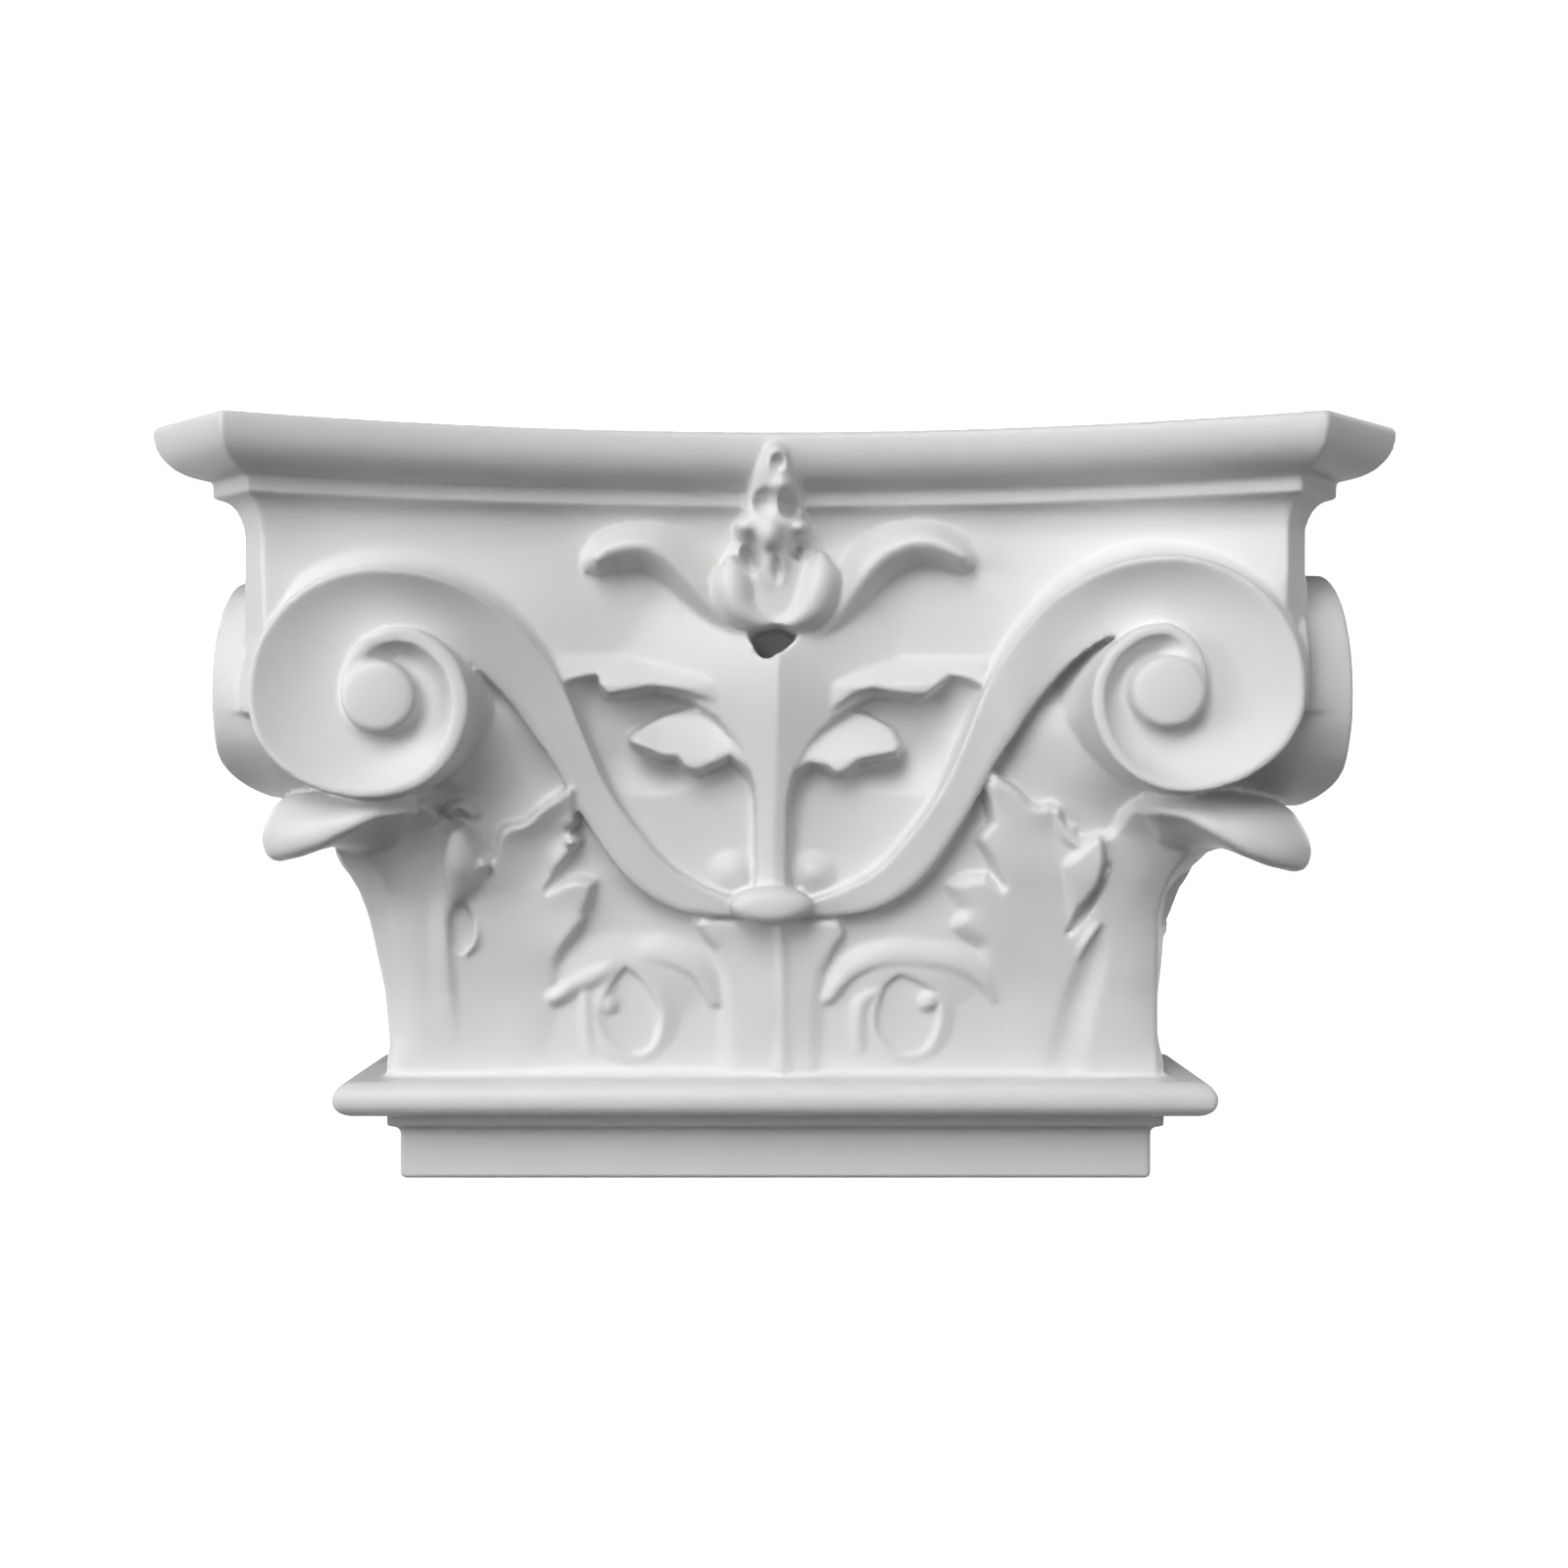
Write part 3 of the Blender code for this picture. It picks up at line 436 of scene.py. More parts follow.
LEFT_HORN = [
    (3, 152, 7, 7, 4), (10.1, 158.5, 8.5, 8, 4.4), (17, 165.5, 9.6, 9, 5), (24.1, 173.6, 11, 10, 5.6),
    (29, 178.6, 12, 10, 6), (34, 181.8, 12.6, 9.4, 6.4), (40, 182.6, 12.6, 8.8, 6), (46.5, 181.0, 12, 8, 5.4),
    (49.6, 178.8, 11.4, 6, 4)]
RIGHT_HORN = [
    (7, 152.6, 7, 6, 4), (15.5, 161, 8.5, 7, 4.4), (22, 170, 9.6, 8, 5), (27, 176.6, 11, 9, 5.6),
    (32, 180.8, 12, 9.4, 6), (38, 183.2, 12.6, 8.6, 6), (44.5, 183, 12.6, 8, 5.6), (50.5, 180.6, 12, 7, 4.6),
    (52.4, 179.4, 11.4, 6, 4)]


def horns(x, z):
    rise = np.zeros_like(x)
    for side, horn in ((-1, LEFT_HORN), (1, RIGHT_HORN)):
        here = side * x
        rise = np.maximum(rise, stroke(here, z, horn, 6, 1.7, (1.5, 0.7)))
    return rise


# Bell: the swelling body between the astragal and the abacus, with all the low relief on it. It was
# modelled in clay for the mould, so its surface is smooth and every edge on it is slightly blunt.

GRID = 0.8

# Height, depth at the corner, depth in the middle and cant of the plain bell, foot to top
BELL_PROFILE = np.array([
    (BELL_FOOT, BELL_FACE, 58.6, 1.2), (55.0, 57.0, 58.0, 3.1), (70.0, 53.6, 57.6, 7.0),
    (77.0, 52.0, 57.4, 9.0), (84.0, 49.6, 57.1, 10.2), (89.0, 46.8, 56.8, 11.2), (94.5, 44.4, 56.5, 10.4),
    (101.0, 43.0, 56.2, 8.0), (113.0, 38.5, 55.6, 6.5),
    (126.0, 31.5, 55.0, 6.5), (132.0, 28.5, 54.6, 6.5), (137.0, 24.0, 54.3, 8.0), (150.0, 23.5, 53.4, 8.0),
    (170.0, 23.5, 51.8, 7.5), (174.0, 24.0, 51.7, 6.5), (COVE_FOOT + 6, 24.0, 51.6, 6.5)])
# Deep pocket in the corner of the bell under the volutes, as (height up, out plus way in from the side)
CORNER_POCKET = np.array([(104.0, 262.0), (113.0, 250.0), (132.4, 247.0), (134.0, 300.0)])
# How much slimmer the right return of the bell is at its corner, by height
RIGHT_TRIM = [(33, 0.4), (42, 2.0), (55, 3.4), (64, 4.6), (73, 5.8), (83, 7.2), (90, 6.0), (100, 1.6), (106, 0)]


def bell_at(z):
    return [float(np.interp(z, BELL_PROFILE[:, 0], BELL_PROFILE[:, i])) for i in (1, 2, 3)]


def bell_depth(out, z):
    corner, middle, cant = bell_at(z)
    return corner + (middle - corner) * (1 - (out / (HALF_WIDTH - corner - cant)) ** 2)


def blunted(x, z):
    """The corners of the bell are worn round, the left one more than the right one."""
    corner = np.interp(z, BELL_PROFILE[:, 0], BELL_PROFILE[:, 1])
    cant = np.interp(z, BELL_PROFILE[:, 0], BELL_PROFILE[:, 3])
    inside = HALF_WIDTH - corner - cant - np.abs(x)
    worn = np.where(x < 0, 2.4, 1.0) * smooth_step((116 - z) / 12) * smooth_step((z - 33) / 10)
    return worn * np.clip(1 - inside / 9, 0, 1.2) ** 2


def volute_swell(out, z):
    """The bell swells softly up to the rim of each volute, on its lower and inner side."""
    away = np.hypot(out - 105.5, z - 139.0) - 22.0
    swell = 8 * np.clip(1 - away / 30, 0, 1) ** 1.6 * (1 - smooth_step((z - 128) / 26))
    return swell * (1 - smooth_step((out - 106) / 14)) * smooth_step((z - 92) / 26)


def shade_hollow(out, z):
    """The ground falls back below each upper lobe, which deepens the shade there."""
    return mound(out, z, (38, 130), (26, 18), 7.0, 1.0)


def relief(x, z):
    rise = np.maximum(np.maximum(foot(x, z), middle_leaf(x, z)), horns(x, z))
    rise = np.maximum(rise, np.where(x < 0, left_leaf(-x, z), right_leaf(x, z)))
    hollows = flower_hollow(x, z) + shade_hollow(np.abs(x), z) * (1 - smooth_step(rise / 1.5))
    return rise + volute_swell(np.abs(x), z) - blunted(x, z) - hollows


def carved_bell():
    heights = np.arange(ASTRAGAL_TOP - 1.0, COVE_FOOT + 10.0, GRID)
    front_steps = int(250 / GRID)
    side_steps = int(80 / GRID)
    rings = []
    for z in heights:
        corner, middle, cant = bell_at(z)
        rings.append(plan_ring(corner, middle - corner, cant, z, front_steps, side_steps))
    rings = np.array(rings)
    side = side_steps + 1
    front = rings[:, side:-side]
    front[..., 1] -= relief(front[..., 0], front[..., 2])
    left = rings[:, :side]
    left[..., 0] -= relief(left[..., 1] - HALF_WIDTH, left[..., 2])
    right = rings[:, -side:]
    right[..., 0] += relief(HALF_WIDTH - right[..., 1], right[..., 2])
    trim = np.array(RIGHT_TRIM, dtype=float)
    near_corner = smooth_step((100 - right[..., 1]) / 40)
    right[..., 0] -= np.interp(right[..., 2], trim[:, 0], trim[:, 1]) * near_corner
    limit = np.interp(rings[..., 2], CORNER_POCKET[:, 0], CORNER_POCKET[:, 1])
    proud = np.maximum(np.abs(rings[..., 0]) + HALF_WIDTH - rings[..., 1] - limit, 0) / 2
    rings[..., 0] -= np.sign(rings[..., 0]) * proud
    rings[..., 1] += proud
    return loft("bell", rings)


figures.append(carved_bell())


# Volutes with their stalks: a dished band leaves the boss in the middle, climbs to the corner and winds
# into the eye. One band is a front volute, and its mirror across the corner is the one on the return.

EYE_RADIUS = 9.8
FACE_LEAN = 0.12
# Angle from the top towards the outside, and how far the rim is from the middle of the eye
LEFT_TURNS = [(0, 35.4), (45, 35.3), (90, 34.6), (110, 33.9), (128, 31.9), (158, 28.6), (180, 27.2), (207, 26.4),
              (228, 25.3), (248, 24.2), (275, 23.4), (294, 22.7), (315, 21.7), (331, 20.9), (344, 19.7),
              (360, 18.0), (375, 16.2), (394, 13.8), (415, 11.8), (438, 10.5), (456, 10), (850, 9.9)]
RIGHT_TURNS = [(0, 36.8), (45, 36.5), (70, 36.1), (100, 35.6), (115, 34.0), (129, 31.9), (153, 28.9), (173, 27.2),
               (190, 25.6), (214, 23.2), (241, 21.0), (263, 20.1), (291, 19.3), (316, 18.9), (337, 18.8),
               (360, 18.4), (378, 16.6), (394, 14.6), (410, 12.6), (427, 11), (450, 10.1), (850, 9.9)]
# Middle of the eye (out, height up), depth of the rim, the turns, and the width of the rim near the eye
VOLUTES = {-1: (106.2, 138.8, 14.6, LEFT_TURNS, 4.2), 1: (104.9, 139.9, 10.4, RIGHT_TURNS, 3.2)}
# Upper and lower edge of the stalk as (out, height up, depth of its face), from the boss to the volute
STALK_UPPER = [(4, 82, 50), (13, 82.8, 50), (28.4, 90.3, 48.5), (40.8, 104.2, 45.5), (49.5, 118.2, 43),
               (59.6, 143, 38), (66, 154, 33), (73, 162.5, 27), (80, 168.4, 22), (88, 172.8, 17), (97, 175.6, 14),
               (106, 176.4, 13)]
STALK_LOWER = [(4, 77, 50), (13, 77, 50), (28.4, 79, 49), (42.3, 88.2, 46.5), (54, 105, 43.5),
               (63.3, 122.3, 39.5), (67.8, 129, 37), (72.5, 136.5, 34), (78.5, 144.5, 29), (85, 151.5, 23),
               (94, 157, 17), (106, 158.4, 13)]
# Outer wall of the volute by angle: how far it runs straight back, and how far it then sweeps outwards
WALL_TURNS = np.array([(0, 3, 8.5), (60, 2, 6), (97, 2, 6), (103, 18, 0.5), (215, 18, 0.5), (255, 9, 13),
                       (322, 9, 13), (348, 6, 0.5), (488, 3, 0.5)], dtype=float)
# How deep the channel is dished, by angle
DISH = np.array([(0, 6.4), (60, 5.6), (130, 4.4), (200, 4.4), (270, 5.6), (345, 7.0)], dtype=float)
# Where that wall stands free of the bell, by angle
WALL_FREE = np.array([(97, 0), (103, 1), (215, 1), (235, 0)], dtype=float)
FREE_DEPTH = 34.0
WALL_ROOT = 8.0
QUARTER = np.radians(np.arange(90, -1, -11.25))


def band_section(width, rim, dish, steepness):
    """Shares across the band and heights over its face, from the outer edge to the inner one."""
    inward = np.linspace(0, 1, 29) ** 1.3 * width
    rim = min(rim, width)
    edge = -0.8 * np.clip(1 - inward / 1.1, 0, 1) ** 2
    crown = -0.3 * np.clip(inward / rim - 0.5, 0, 0.5) ** 2
    t = np.clip((inward - rim) / max(width - rim, 0.1), 0, 1)
    return inward / width, edge + crown - dish * (1 - (1 - t) ** steepness)


def ground_depth(out, z):
    return bell_depth(min(out, 138.0), z) - float(volute_swell(out, z))


def outer_wall(gap, straight, sweep):
    """Steps back from the rim, and the spread at each: straight, then a quarter ellipse that lands flat."""
    straight = min(straight, 0.8 * gap)
    back = straight + (gap - straight) * np.sin(QUARTER)
    spread = sweep * (1 - np.cos(QUARTER))
    return np.array([gap + WALL_ROOT, *back, 0.8]), np.array([sweep, *spread, 0.0])


def band(sign, eye_out, eye_height, face, turns, inner_rim, lean):
    turns = np.array(turns, dtype=float)
    rings = []
    upper = curve_through(STALK_UPPER, 6)
    lower = curve_through(STALK_LOWER, 6)
    ends = (eye_height + turns[0, 1] - upper[-1, 1],
            eye_height + float(np.interp(360, turns[:, 0], turns[:, 1])) - 0.6 - lower[-1, 1])
    for step, (high, low) in enumerate(zip(upper, lower)):
        grown = float(smooth_step((step / (len(upper) - 1) - 0.3) / 0.7))
        shift = np.array([eye_out - 106.0, 0, face - 13.0]) * grown
        high = high + shift + (0, ends[0] * grown, 0)
        low = low + shift + (0, ends[1] * grown, 0)
        width = float(np.hypot(*(high - low)[:2]))
        shares, heights = band_section(width, 1.2 + 0.6 * grown, 0.8 + 5.6 * grown ** 2, 2.2)
        inner_edge = 1.2 * (1 - grown) * np.clip((shares - 0.75) / 0.25, 0, 1) ** 2
        across = high[None, :] + (low - high)[None, :] * shares[:, None]
        skin = np.column_stack([across[:, 0], across[:, 2] - heights + inner_edge, across[:, 1]])
        outward = (high - low)[:2] / max(width, 0.1)
        sweep = 0.8 + 7.7 * grown
        landing = high[:2] + outward * sweep
        gap = max(ground_depth(landing[0], landing[1]) - skin[0, 1], 3.0)
        back, spread = outer_wall(gap, 1.2 + 1.8 * grown, sweep)
        wall = np.column_stack([high[0] + outward[0] * spread, skin[0, 1] + back, high[1] + outward[1] * spread])
        skin[:, 1] += lean * grown * (eye_out - skin[:, 0])
        wall[1:, 1] += lean * grown * (eye_out - wall[1:, 0]) * np.linspace(0, 1, len(wall) - 1)
        last = (low[0], bell_depth(low[0], low[1]) + 4, low[1])
        rings.append(np.array([*wall, *skin, last]))
    for angle in range(4, 489, 4):
        outer = float(np.interp(angle, turns[:, 0], turns[:, 1]))
        inner = max(float(np.interp(angle + 360, turns[:, 0], turns[:, 1])), EYE_RADIUS) - 0.6
        width = outer - inner
        late = float(smooth_step((angle - 140) / 120))
        open_channel = 1 - float(smooth_step((angle - 345) / 45))
        dish = float(np.interp(angle, DISH[:, 0], DISH[:, 1])) * open_channel
        shares, heights = band_section(width, 1.8 + (inner_rim - 1.8) * late, dish, 2.2 + 1.2 * late)
        turn = math.radians(angle)
        radius = outer - width * shares
        skin = np.column_stack([eye_out + radius * math.sin(turn), face - heights,
                                eye_height + radius * math.cos(turn)])
        straight, sweep = (float(np.interp(angle, WALL_TURNS[:, 0], WALL_TURNS[:, i])) for i in (1, 2))
        free = float(np.interp(angle, WALL_FREE[:, 0], WALL_FREE[:, 1]))
        landing = (skin[0, 0] + sweep * math.sin(turn), skin[0, 2] + sweep * math.cos(turn))
        gap = max(ground_depth(*landing) - skin[0, 1], 12.0) if angle < 352 else 10.0
        back, spread = outer_wall(gap + (FREE_DEPTH - gap) * free, straight, sweep)
        depth = skin[0, 1] + back
        wall = np.column_stack([skin[0, 0] + spread * math.sin(turn), depth, skin[0, 2] + spread * math.cos(turn)])
        skin[:, 1] += lean * (eye_out - skin[:, 0])
        wall[1:, 1] += lean * (eye_out - wall[1:, 0]) * np.linspace(0, 1, len(wall) - 1)
        last = (skin[-1, 0], depth[0], skin[-1, 2])
        rings.append(np.array([*wall, *skin, last]))
    rings = np.array(rings)
    rings[..., 0] *= sign
    return loft("band", rings)


def eye(sign, eye_out, eye_height, face, lean):
    """Flat button in the middle of the volute, on a drum that closes the hub down to the bell."""
    rings = [(0.4, 46.0), (0.3, face + 6.0), (0.1, face + 1.2), (-0.1, face - 0.2), (-0.6, face - 1.2),
             (-1.6, face - 1.8), (-4.6, face - 2.1), (-8.8, face - 2.3)]
    turn = np.linspace(0, 2 * math.pi, 49)[:-1]
    points = []
    for more, depth in rings:
        radius = EYE_RADIUS + more
        points.append(np.column_stack([sign * (eye_out + radius * np.sin(turn)), depth - lean * radius * np.sin(turn),
                                       eye_height + radius * np.cos(turn)]))
    return loft("eye", points)


def mirrored(obj, sign, droop):
    """The same figure on the return side: out and depth change places across the corner."""
    points = np.array([vert.co for vert in obj.data.vertices]) / MM
    depth = points[:, 1] + ORIGIN_DEPTH
    out = sign * points[:, 0]
    height = points[:, 2]
    near = smooth_step((48 - np.hypot(out - 106, height - 139)) / 10)
    height = height + droop * near * np.minimum(height - 139, 0)
    bottom = 111.6 - 27 * droop
    depth = depth + 9 * near * np.clip(1 - (height - bottom) / 13, 0, 1) ** 2
    turned = np.column_stack([sign * (HALF_WIDTH - depth), HALF_WIDTH - out, height])
    return solid(obj.name, turned, [face.vertices[:] for face in obj.data.polygons])


for sign, (eye_out, eye_height, face, turns, inner_rim) in VOLUTES.items():
    for lean in (FACE_LEAN, 0.0):
        figure = band(sign, eye_out, eye_height, face, turns, inner_rim, lean)
        button = eye(sign, eye_out, eye_height, face, lean)
        if lean:
            figures += [figure, button]
        else:
            droop = 0.15 if sign > 0 else 0.0
            figures += [mirrored(figure, sign, droop), mirrored(button, sign, droop)]
            for spare in (figure, button):
                bpy.data.objects.remove(spare)


# Leaf tips: the corner leaf leaves the bell under the volutes and rolls over as a tongue. It fans out
# round the corner from a point on the corner's diagonal, with a bright top and a dark underside.

TIP_ROOT_OUT = 112.5
TIP_ROOT_DEPTH = 58.0
# Direction from straight ahead round to the side, and reach of the fan
TIP_REACH = [(-40, 18), (-31, 24), (-25, 31), (-19, 36), (-8, 39), (0, 40), (20, 40.2), (45, 40.4), (60, 36.6),
             (75, 34.4), (90, 33.4), (105, 33), (114, 29), (121, 24), (130, 18)]
# Section of the tongue at its front end and on the diagonal, as (share of the reach, height up)
TIP_FRONT = [(0.2, 114), (0.6, 113.8), (0.8, 113), (0.9, 111.8), (0.97, 110), (1.0, 108), (0.97, 106.9),
             (0.86, 105.8), (0.7, 103.4), (0.54, 99.8), (0.4, 96.6), (0.2, 92.6), (0.05, 88)]
TIP_CORNER = [(0.2, 113.4), (0.6, 113), (0.84, 111.2), (0.955, 105.8), (1.0, 100.3), (0.97, 95.4), (0.89, 93.7),
              (0.8, 94.6), (0.68, 96.2), (0.54, 97.4), (0.38, 96.8), (0.16, 92.8), (0.05, 88)]
# How far the section has turned from the front one to the one on the corner's diagonal, by direction
TIP_TURN = [(-40, 0), (-18, 0), (-7, 0.08), (6.5, 0.42), (16, 0.67), (30, 0.88), (45, 1.0)]


def leaf_tip(sign, reach_at_corner, drop, lag):
    reach = np.array(TIP_REACH, dtype=float)
    turn_share = np.array(TIP_TURN, dtype=float)
    front = curve_through(TIP_FRONT, 4)
    corner = curve_through(TIP_CORNER, 4)
    rings = []
    for angle in range(-40, 131, 3):
        own = angle if angle <= 45 else 90 - angle
        towards = float(np.interp(own - lag * (45 - own) / 50, turn_share[:, 0], turn_share[:, 1]))
        length = float(np.interp(angle - lag * (own < 20), reach[:, 0], reach[:, 1]))
        length *= 1 + (reach_at_corner / 40.4 - 1) * towards
        section = front + (corner - front) * towards
        radius = section[:, 0] * length
        height = section[:, 1] - drop * towards * np.clip((section[:, 0] - 0.5) / 0.5, 0, 1)
        turn = math.radians(angle)
        rings.append(np.column_stack([sign * (TIP_ROOT_OUT + radius * math.sin(turn)),
                                      TIP_ROOT_DEPTH - radius * math.cos(turn), height]))
    return loft("leaf_tip", rings)


figures.append(leaf_tip(-1, 40.4, 0.0, 0))
figures.append(leaf_tip(1, 48.0, 3.4, 6))


# Flower and boss: over the calyx two petals hold a bud of small knobs that climbs the hollow of the
# abacus to its top edge. The boss is a flat button on the knot where the two stalks and the stem meet.

FLOWER_BACK = 54.0


def flower_rise(x, z):
    """Rise over a plane behind the flower, at all places at once."""
    rise = np.full_like(x, -4.0)
    cup = sheet(x, z, [(-16, 176, 9, 4), (-17, 168, 9, 4), (-13, 161, 10, 4), (-7, 158.4, 11, 3), (0, 157.8, 12, 3),
                       (7, 158.5, 11, 3), (13, 162, 10, 4), (17.6, 168, 9, 4), (16.6, 176, 9, 4), (10, 188, 10, 4),
                       (0, 192, 11, 4), (-10, 188, 10, 4)], [(0, 168, 12.4), (0, 176, 13)], 2)
    rise = np.maximum(rise, cup)
    bud = [(0, 174, 14, 7, 7), (-0.2, 183, 17.6, 9.2, 9), (-0.4, 187.6, 20, 11.6, 11.2), (-0.3, 191.5, 20.6, 9.4, 9.2),
           (-0.2, 196, 22, 8.6, 8.4), (-0.1, 200, 23.6, 8, 8), (0.1, 203, 25, 7.4, 7.4), (0.5, 206.5, 25.8, 6.1, 6.1)]
    rise = np.maximum(rise, stroke(x, z, bud, flank=2.4, crest=(0.42, 0.42)))
    knobs = [((1.7, 198.2), (4.0, 3.6), 26.4), ((-7.9, 187.6), (3.8, 3.4), 19.4), ((-1.2, 185.6), (4.4, 6.0), 22.4),
             ((6.6, 187.4), (3.8, 3.0), 19.6)]
    for centre, size, height in knobs:
        rise = np.maximum(rise, height * mound(x, z, centre, size, 1.0, 0.22))
    pits = [((0.9, 204.2), (2.1, 2.8), -3.4), ((-3.0, 193.8), (3.7, 4.0), -7.0), ((3.9, 192.9), (3.4, 3.6), -6.6),
            ((-6.6, 179.8), (3.7, 5.2), -8.0), ((0.6, 175.6), (1.3, 4.8), -3.0), ((5.9, 181.2), (2.3, 3.4), -5.0)]
    for centre, size, height in pits:
        rise = rise + mound(x, z, centre, size, height, 0.9)
    left_petal = [(-0.6, 160.2, 13.6, 2.4, 2.4), (-5.4, 161.8, 16, 4.4, 4.0), (-10.2, 165.6, 18, 6.4, 6),
                  (-12, 171, 18.6, 7, 6.8), (-12.4, 175.4, 17.4, 5.8, 5.8), (-12.4, 178.4, 14.6, 2.6, 2.6)]
    right_petal = [(0.8, 160.2, 13.6, 2.4, 2.4), (5.8, 161.8, 16, 4, 4.4), (10.6, 165.8, 18, 6, 6.4),
                   (12.6, 171.4, 18.6, 6.4, 6.8), (13, 176, 17.4, 5.4, 5.8), (13, 179.4, 14.6, 2.6, 2.6)]
    for petal in (left_petal, right_petal):
        rise = np.maximum(rise, stroke(x, z, petal, flank=2.2, crest=(0.4, 0.4)))
    return np.maximum(rise - flower_hollow(x, z), -16.0)


def flower():
    xs = np.arange(-24, 24.01, 0.5)
    zs = np.arange(150, 215.01, 0.5)
    z, x = np.meshgrid(zs, xs, indexing="ij")
    depth = FLOWER_BACK - flower_rise(x, z)
    rings = []
    for row in range(len(zs)):
        front = np.column_stack([x[row], depth[row], z[row]])
        back = [(xs[-1], FLOWER_BACK + 20, zs[row]), (xs[0], FLOWER_BACK + 20, zs[row])]
        rings.append(np.concatenate([front, back]))
    rings = np.array(rings)
    rings[..., 2] = np.minimum(rings[..., 2], HEIGHT)
    return loft("flower", rings)


def lens_button(name, centre, size):
    """Flat lens with a tight edge, its size given as half width, half depth and half height."""
    rings = []
    turn = np.linspace(0, 2 * math.pi, 49)[:-1]
    for angle in np.radians(range(-85, 86, 10)):
        radius = math.cos(angle) ** 0.6
        forward = math.copysign(abs(math.sin(angle)) ** 0.6, angle)
        rings.append(np.column_stack([centre[0] + size[0] * radius * np.sin(turn),
                                      np.full(48, centre[1] + size[1] * forward),
                                      centre[2] + size[2] * radius * np.cos(turn)]))
    return loft(name, rings)


figures.append(flower())
figures.append(lens_button("boss", (-1.2, 50, 80.8), (11.8, 9.0, 5.4)))


# The casting itself: rigid polyurethane foam poured in one silicone mould, which gives it one closed
# skin and a back cut flat for the wall. The figures above are melted together into that skin.

VOXEL = 0.8
CASTING_TRIANGLES = 190000


def cast(parts):
    bm = bmesh.new()
    for part in parts:
        bm.from_mesh(part.data)
        bpy.data.objects.remove(part)
    body = solid("capital_casting", np.zeros((0, 3)), [])
    bm.to_mesh(body.data)
    bm.free()
    skin = body.modifiers.new("one skin", "REMESH")
    skin.mode = "VOXEL"
    skin.voxel_size = VOXEL * MM
    soft = body.modifiers.new("blunt edges", "SMOOTH")
    soft.factor = 0.5
    soft.iterations = 2
    mesh = bpy.data.meshes.new_from_object(body.evaluated_get(bpy.context.evaluated_depsgraph_get()))
    body.modifiers.clear()
    bm = bmesh.new()
    bm.from_mesh(mesh)
    wall = (WALL - ORIGIN_DEPTH) * MM
    everything = bm.verts[:] + bm.edges[:] + bm.faces[:]
    cut = bmesh.ops.bisect_plane(bm, geom=everything, plane_co=(0, wall, 0), plane_no=(0, 1, 0), clear_outer=True)
    edges = [item for item in cut["geom_cut"] if isinstance(item, bmesh.types.BMEdge)]
    bmesh.ops.edgeloop_fill(bm, edges=edges)
    bmesh.ops.triangulate(bm, faces=bm.faces)
    bmesh.ops.recalc_face_normals(bm, faces=bm.faces)
    bm.to_mesh(mesh)
    bm.free()
    body.data = mesh
    thin = body.modifiers.new("thinned out", "DECIMATE")
    thin.ratio = CASTING_TRIANGLES / len(mesh.polygons)
    mesh = bpy.data.meshes.new_from_object(body.evaluated_get(bpy.context.evaluated_depsgraph_get()))
    body.modifiers.clear()
    body.data = mesh
    place = np.array([vert.co for vert in mesh.vertices])
    place[:, 0] = np.clip(place[:, 0], -HALF_WIDTH * MM, HALF_WIDTH * MM)
    place[:, 1] = np.clip(place[:, 1], -ORIGIN_DEPTH * MM, wall)
    place[:, 2] = np.clip(place[:, 2], 0, HEIGHT * MM)
    for level in (0, HEIGHT * MM):
        near = np.abs(place[:, 2] - level) < 0.25 * MM
        place[near, 2] = level
    mesh.vertices.foreach_set("co", place.ravel())
    mesh.shade_smooth()
    flat = np.array([abs(face.normal.y) > 0.999 and face.center.y > wall - 0.2 * MM for face in mesh.polygons])
    mesh.polygons.foreach_set("use_smooth", ~flat)
    mesh.set_sharp_from_angle(angle=math.radians(60))
    mesh.update()
    return body


capital = cast(figures)
print("casting", len(capital.data.polygons))


def add_node(tree, kind, links=(), **settings):
    """A node with its settings; links pair a socket's name or number with a value or an output."""
    node = tree.nodes.new(kind)
    for name, value in settings.items():
        setattr(node, name, value)
    for socket, value in links:
        if isinstance(value, bpy.types.NodeSocket):
            tree.links.new(value, node.inputs[socket])
        else:
            node.inputs[socket].default_value = value
    return node


def linear(code):
    """Linear colour from an sRGB hex value."""
    parts = [int(code[i:i + 2], 16) / 255 for i in (1, 3, 5)]
    return (*[c / 12.92 if c <= 0.04045 else ((c + 0.055) / 1.055) ** 2.4 for c in parts], 1.0)


def primed_foam():
    """Rigid foam under sprayed white primer: an even satin white, a touch uneven where the coat pools."""
    material = bpy.data.materials.new("white_primed_foam")
    material.use_nodes = True
    tree = material.node_tree
    tree.nodes.clear()
    place = add_node(tree, "ShaderNodeTexCoord")
    coat = add_node(tree, "ShaderNodeTexNoise", [("Vector", place.outputs["Object"]), ("Scale", 38.0), ("Detail", 3.0)])
    tone = add_node(tree, "ShaderNodeMix", [(0, coat.outputs["Fac"]), (6, linear("#dededd")), (7, linear("#e4e4e3"))],
                    data_type="RGBA")
    grain = add_node(tree, "ShaderNodeTexNoise", [("Vector", place.outputs["Object"]), ("Scale", 900.0), ("Detail", 2.0)])
    skin = add_node(tree, "ShaderNodeBump", [("Height", grain.outputs["Fac"]), ("Strength", 0.03), ("Distance", 0.0004)])
    gloss = add_node(tree, "ShaderNodeMapRange", [("Value", coat.outputs["Fac"]), ("To Min", 0.42), ("To Max", 0.5)])
    shader = add_node(tree, "ShaderNodeBsdfPrincipled", [
        ("Base Color", tone.outputs[2]), ("Roughness", gloss.outputs[0]), ("Normal", skin.outputs[0])])
    add_node(tree, "ShaderNodeOutputMaterial", [("Surface", shader.outputs[0])])
    return material


capital.data.materials.clear()
capital.data.materials.append(primed_foam())
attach(capital, "root")
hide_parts("pilaster_capital")


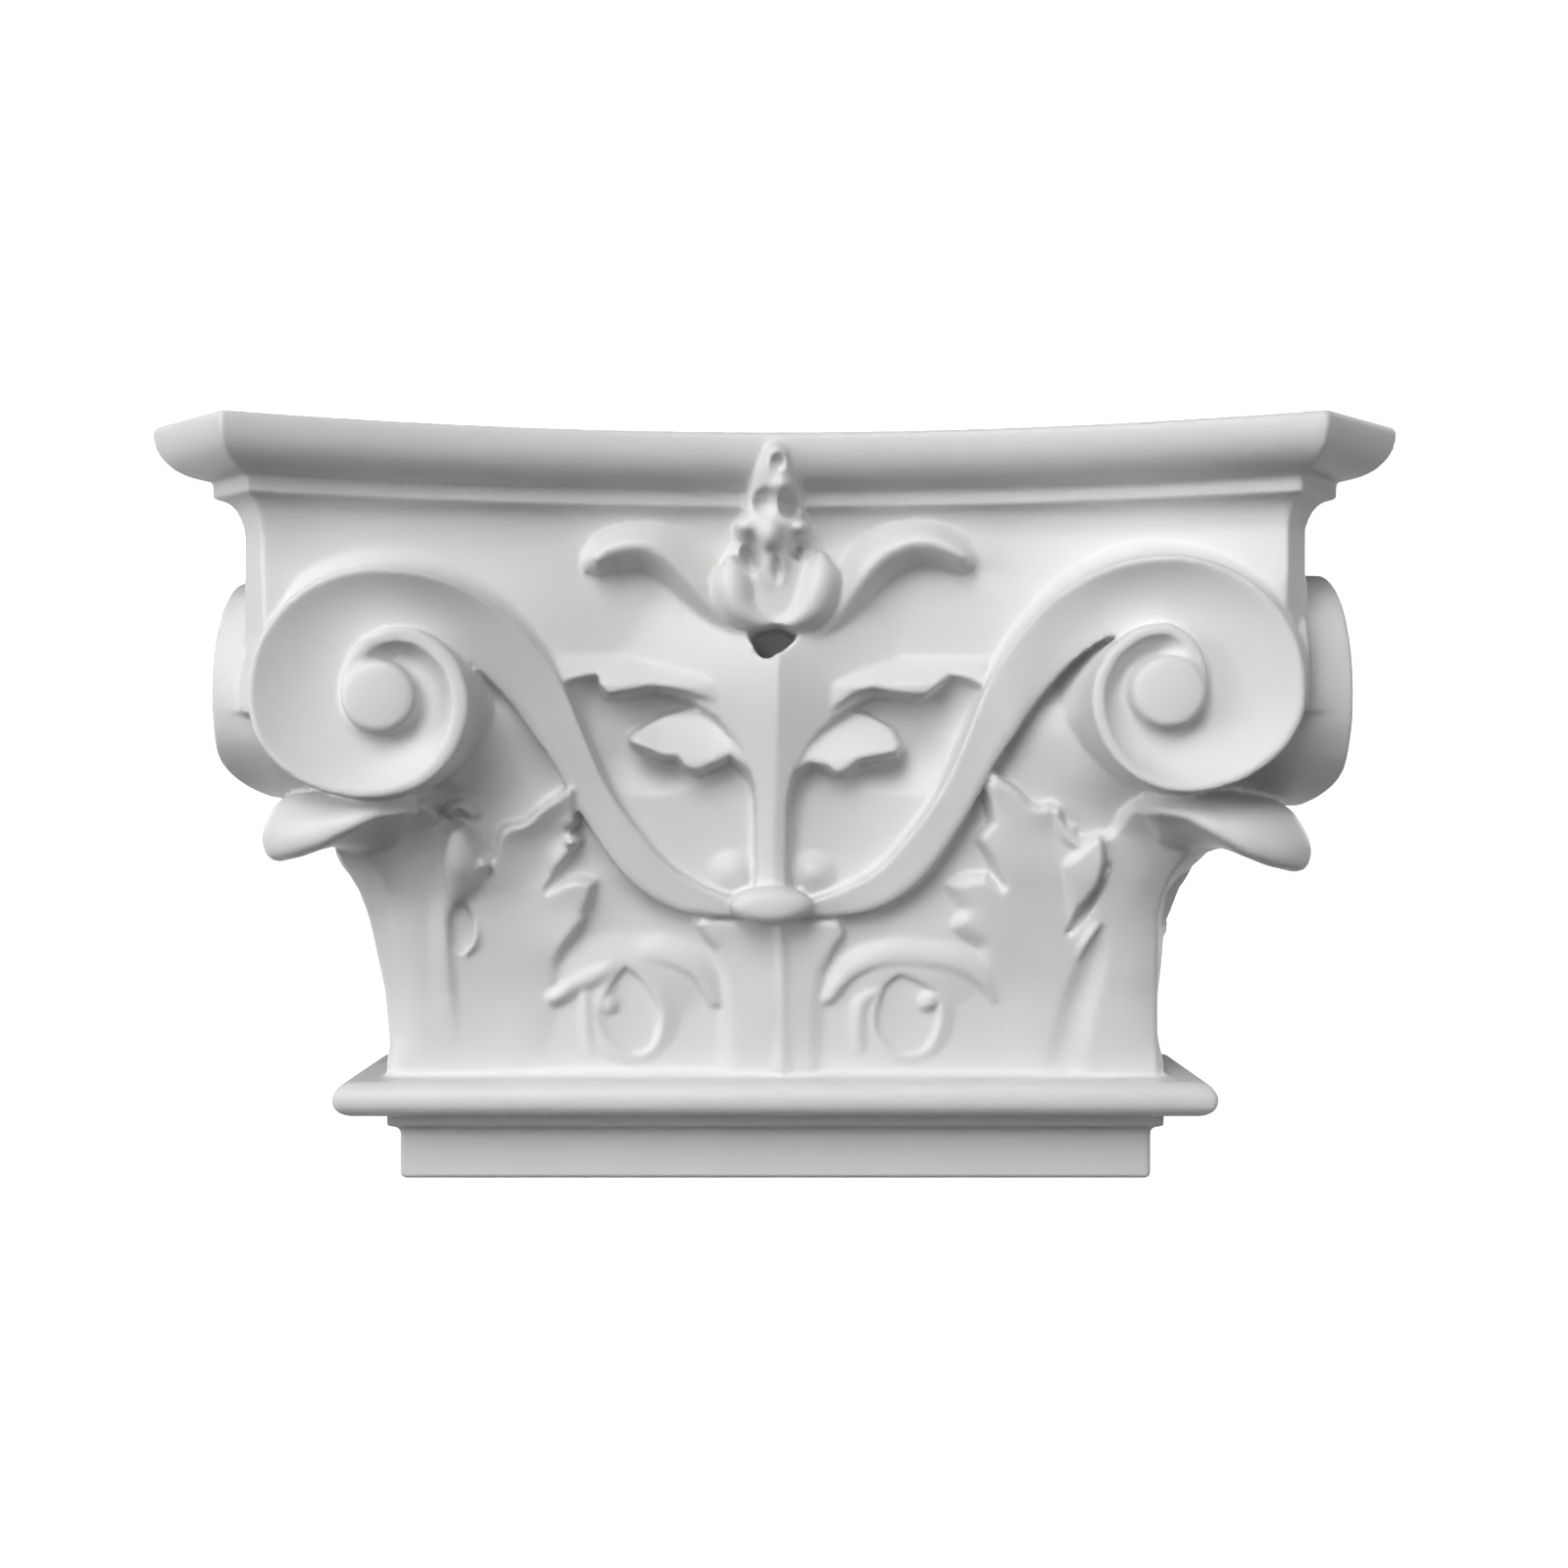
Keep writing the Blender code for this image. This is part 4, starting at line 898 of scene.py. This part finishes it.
# Studio: a pale floor and a white sweep behind the capital, a large soft light from the upper left and
# a weak one from the right. The camera stands straight ahead at the height of the photograph's.

def plane(name, points):
    mesh = bpy.data.meshes.new(name)
    mesh.from_pydata(points, [], [(0, 1, 2, 3)])
    obj = bpy.data.objects.new(name, mesh)
    bpy.context.collection.objects.link(obj)
    return obj


def paper():
    material = bpy.data.materials.new("white_paper")
    material.use_nodes = True
    tree = material.node_tree
    tree.nodes.clear()
    shader = add_node(tree, "ShaderNodeBsdfPrincipled", [
        ("Base Color", linear("#f4f4f4")), ("Roughness", 0.9), ("Emission Color", linear("#ffffff")),
        ("Emission Strength", 0.8)])
    add_node(tree, "ShaderNodeOutputMaterial", [("Surface", shader.outputs[0])])
    return material


def lit_paper():
    material = bpy.data.materials.new("lit_paper")
    material.use_nodes = True
    tree = material.node_tree
    tree.nodes.clear()
    glow = add_node(tree, "ShaderNodeEmission", [("Color", linear("#ffffff")), ("Strength", 1.0)])
    add_node(tree, "ShaderNodeOutputMaterial", [("Surface", glow.outputs[0])])
    return material


ROOM = 3.0
ROOM_HEIGHT = 4.0
corners = [(-ROOM, -ROOM), (ROOM, -ROOM), (ROOM, ROOM), (-ROOM, ROOM)]
floor = plane("floor", [(x, y, 0) for x, y in corners])
floor.data.materials.append(paper())
floor.visible_diffuse = False
glowing = lit_paper()
for number, (start, end) in enumerate(zip(corners, corners[1:] + corners[:1])):
    backdrop = plane(f"backdrop_{number + 1}", [(*start, 0), (*end, 0), (*end, ROOM_HEIGHT), (*start, ROOM_HEIGHT)])
    backdrop.data.materials.append(glowing)
    backdrop.visible_diffuse = False
    backdrop.visible_glossy = False


def soft_light(name, place, energy, size):
    lamp = bpy.data.lights.new(name, "AREA")
    lamp.energy = energy
    lamp.size = size
    obj = bpy.data.objects.new(name, lamp)
    obj.location = place
    x, y, z = (a - b for a, b in zip((0, 0, 0.1), place))
    obj.rotation_euler = (math.atan2(math.hypot(x, y), -z), 0, math.atan2(y, x) - math.pi / 2)
    obj.visible_camera = False
    bpy.context.collection.objects.link(obj)


soft_light("front", (-0.42, -1.45, 1.32), 14, 1.0)
soft_light("low front", (-0.81, -1.74, 0.65), 6.3, 1.0)
soft_light("left", (-1.75, -0.82, 0.45), 9.4, 1.0)
soft_light("right", (1.45, -1.25, 0.4), 5.4, 1.2)
soft_light("back right", (1.5, 1.3, 0.7), 10, 1.2)
soft_light("back left", (-1.5, 1.5, 0.7), 6.3, 1.2)
world = bpy.data.worlds.new("studio")
world.use_nodes = True
world.node_tree.nodes["Background"].inputs[0].default_value = (1, 1, 1, 1)
world.node_tree.nodes["Background"].inputs[1].default_value = 0.01
bpy.context.scene.world = world
bpy.context.scene.view_settings.view_transform = "Standard"
bpy.context.scene.view_settings.look = "High Contrast"

lens = bpy.data.cameras.new("camera")
lens.lens = 43.456
lens.sensor_width = 36
camera = bpy.data.objects.new("camera", lens)
camera.location = (0.00253, -0.57615, 0.11538)
camera.rotation_euler = (math.pi / 2, 0, 0)
bpy.context.collection.objects.link(camera)
bpy.context.scene.camera = camera
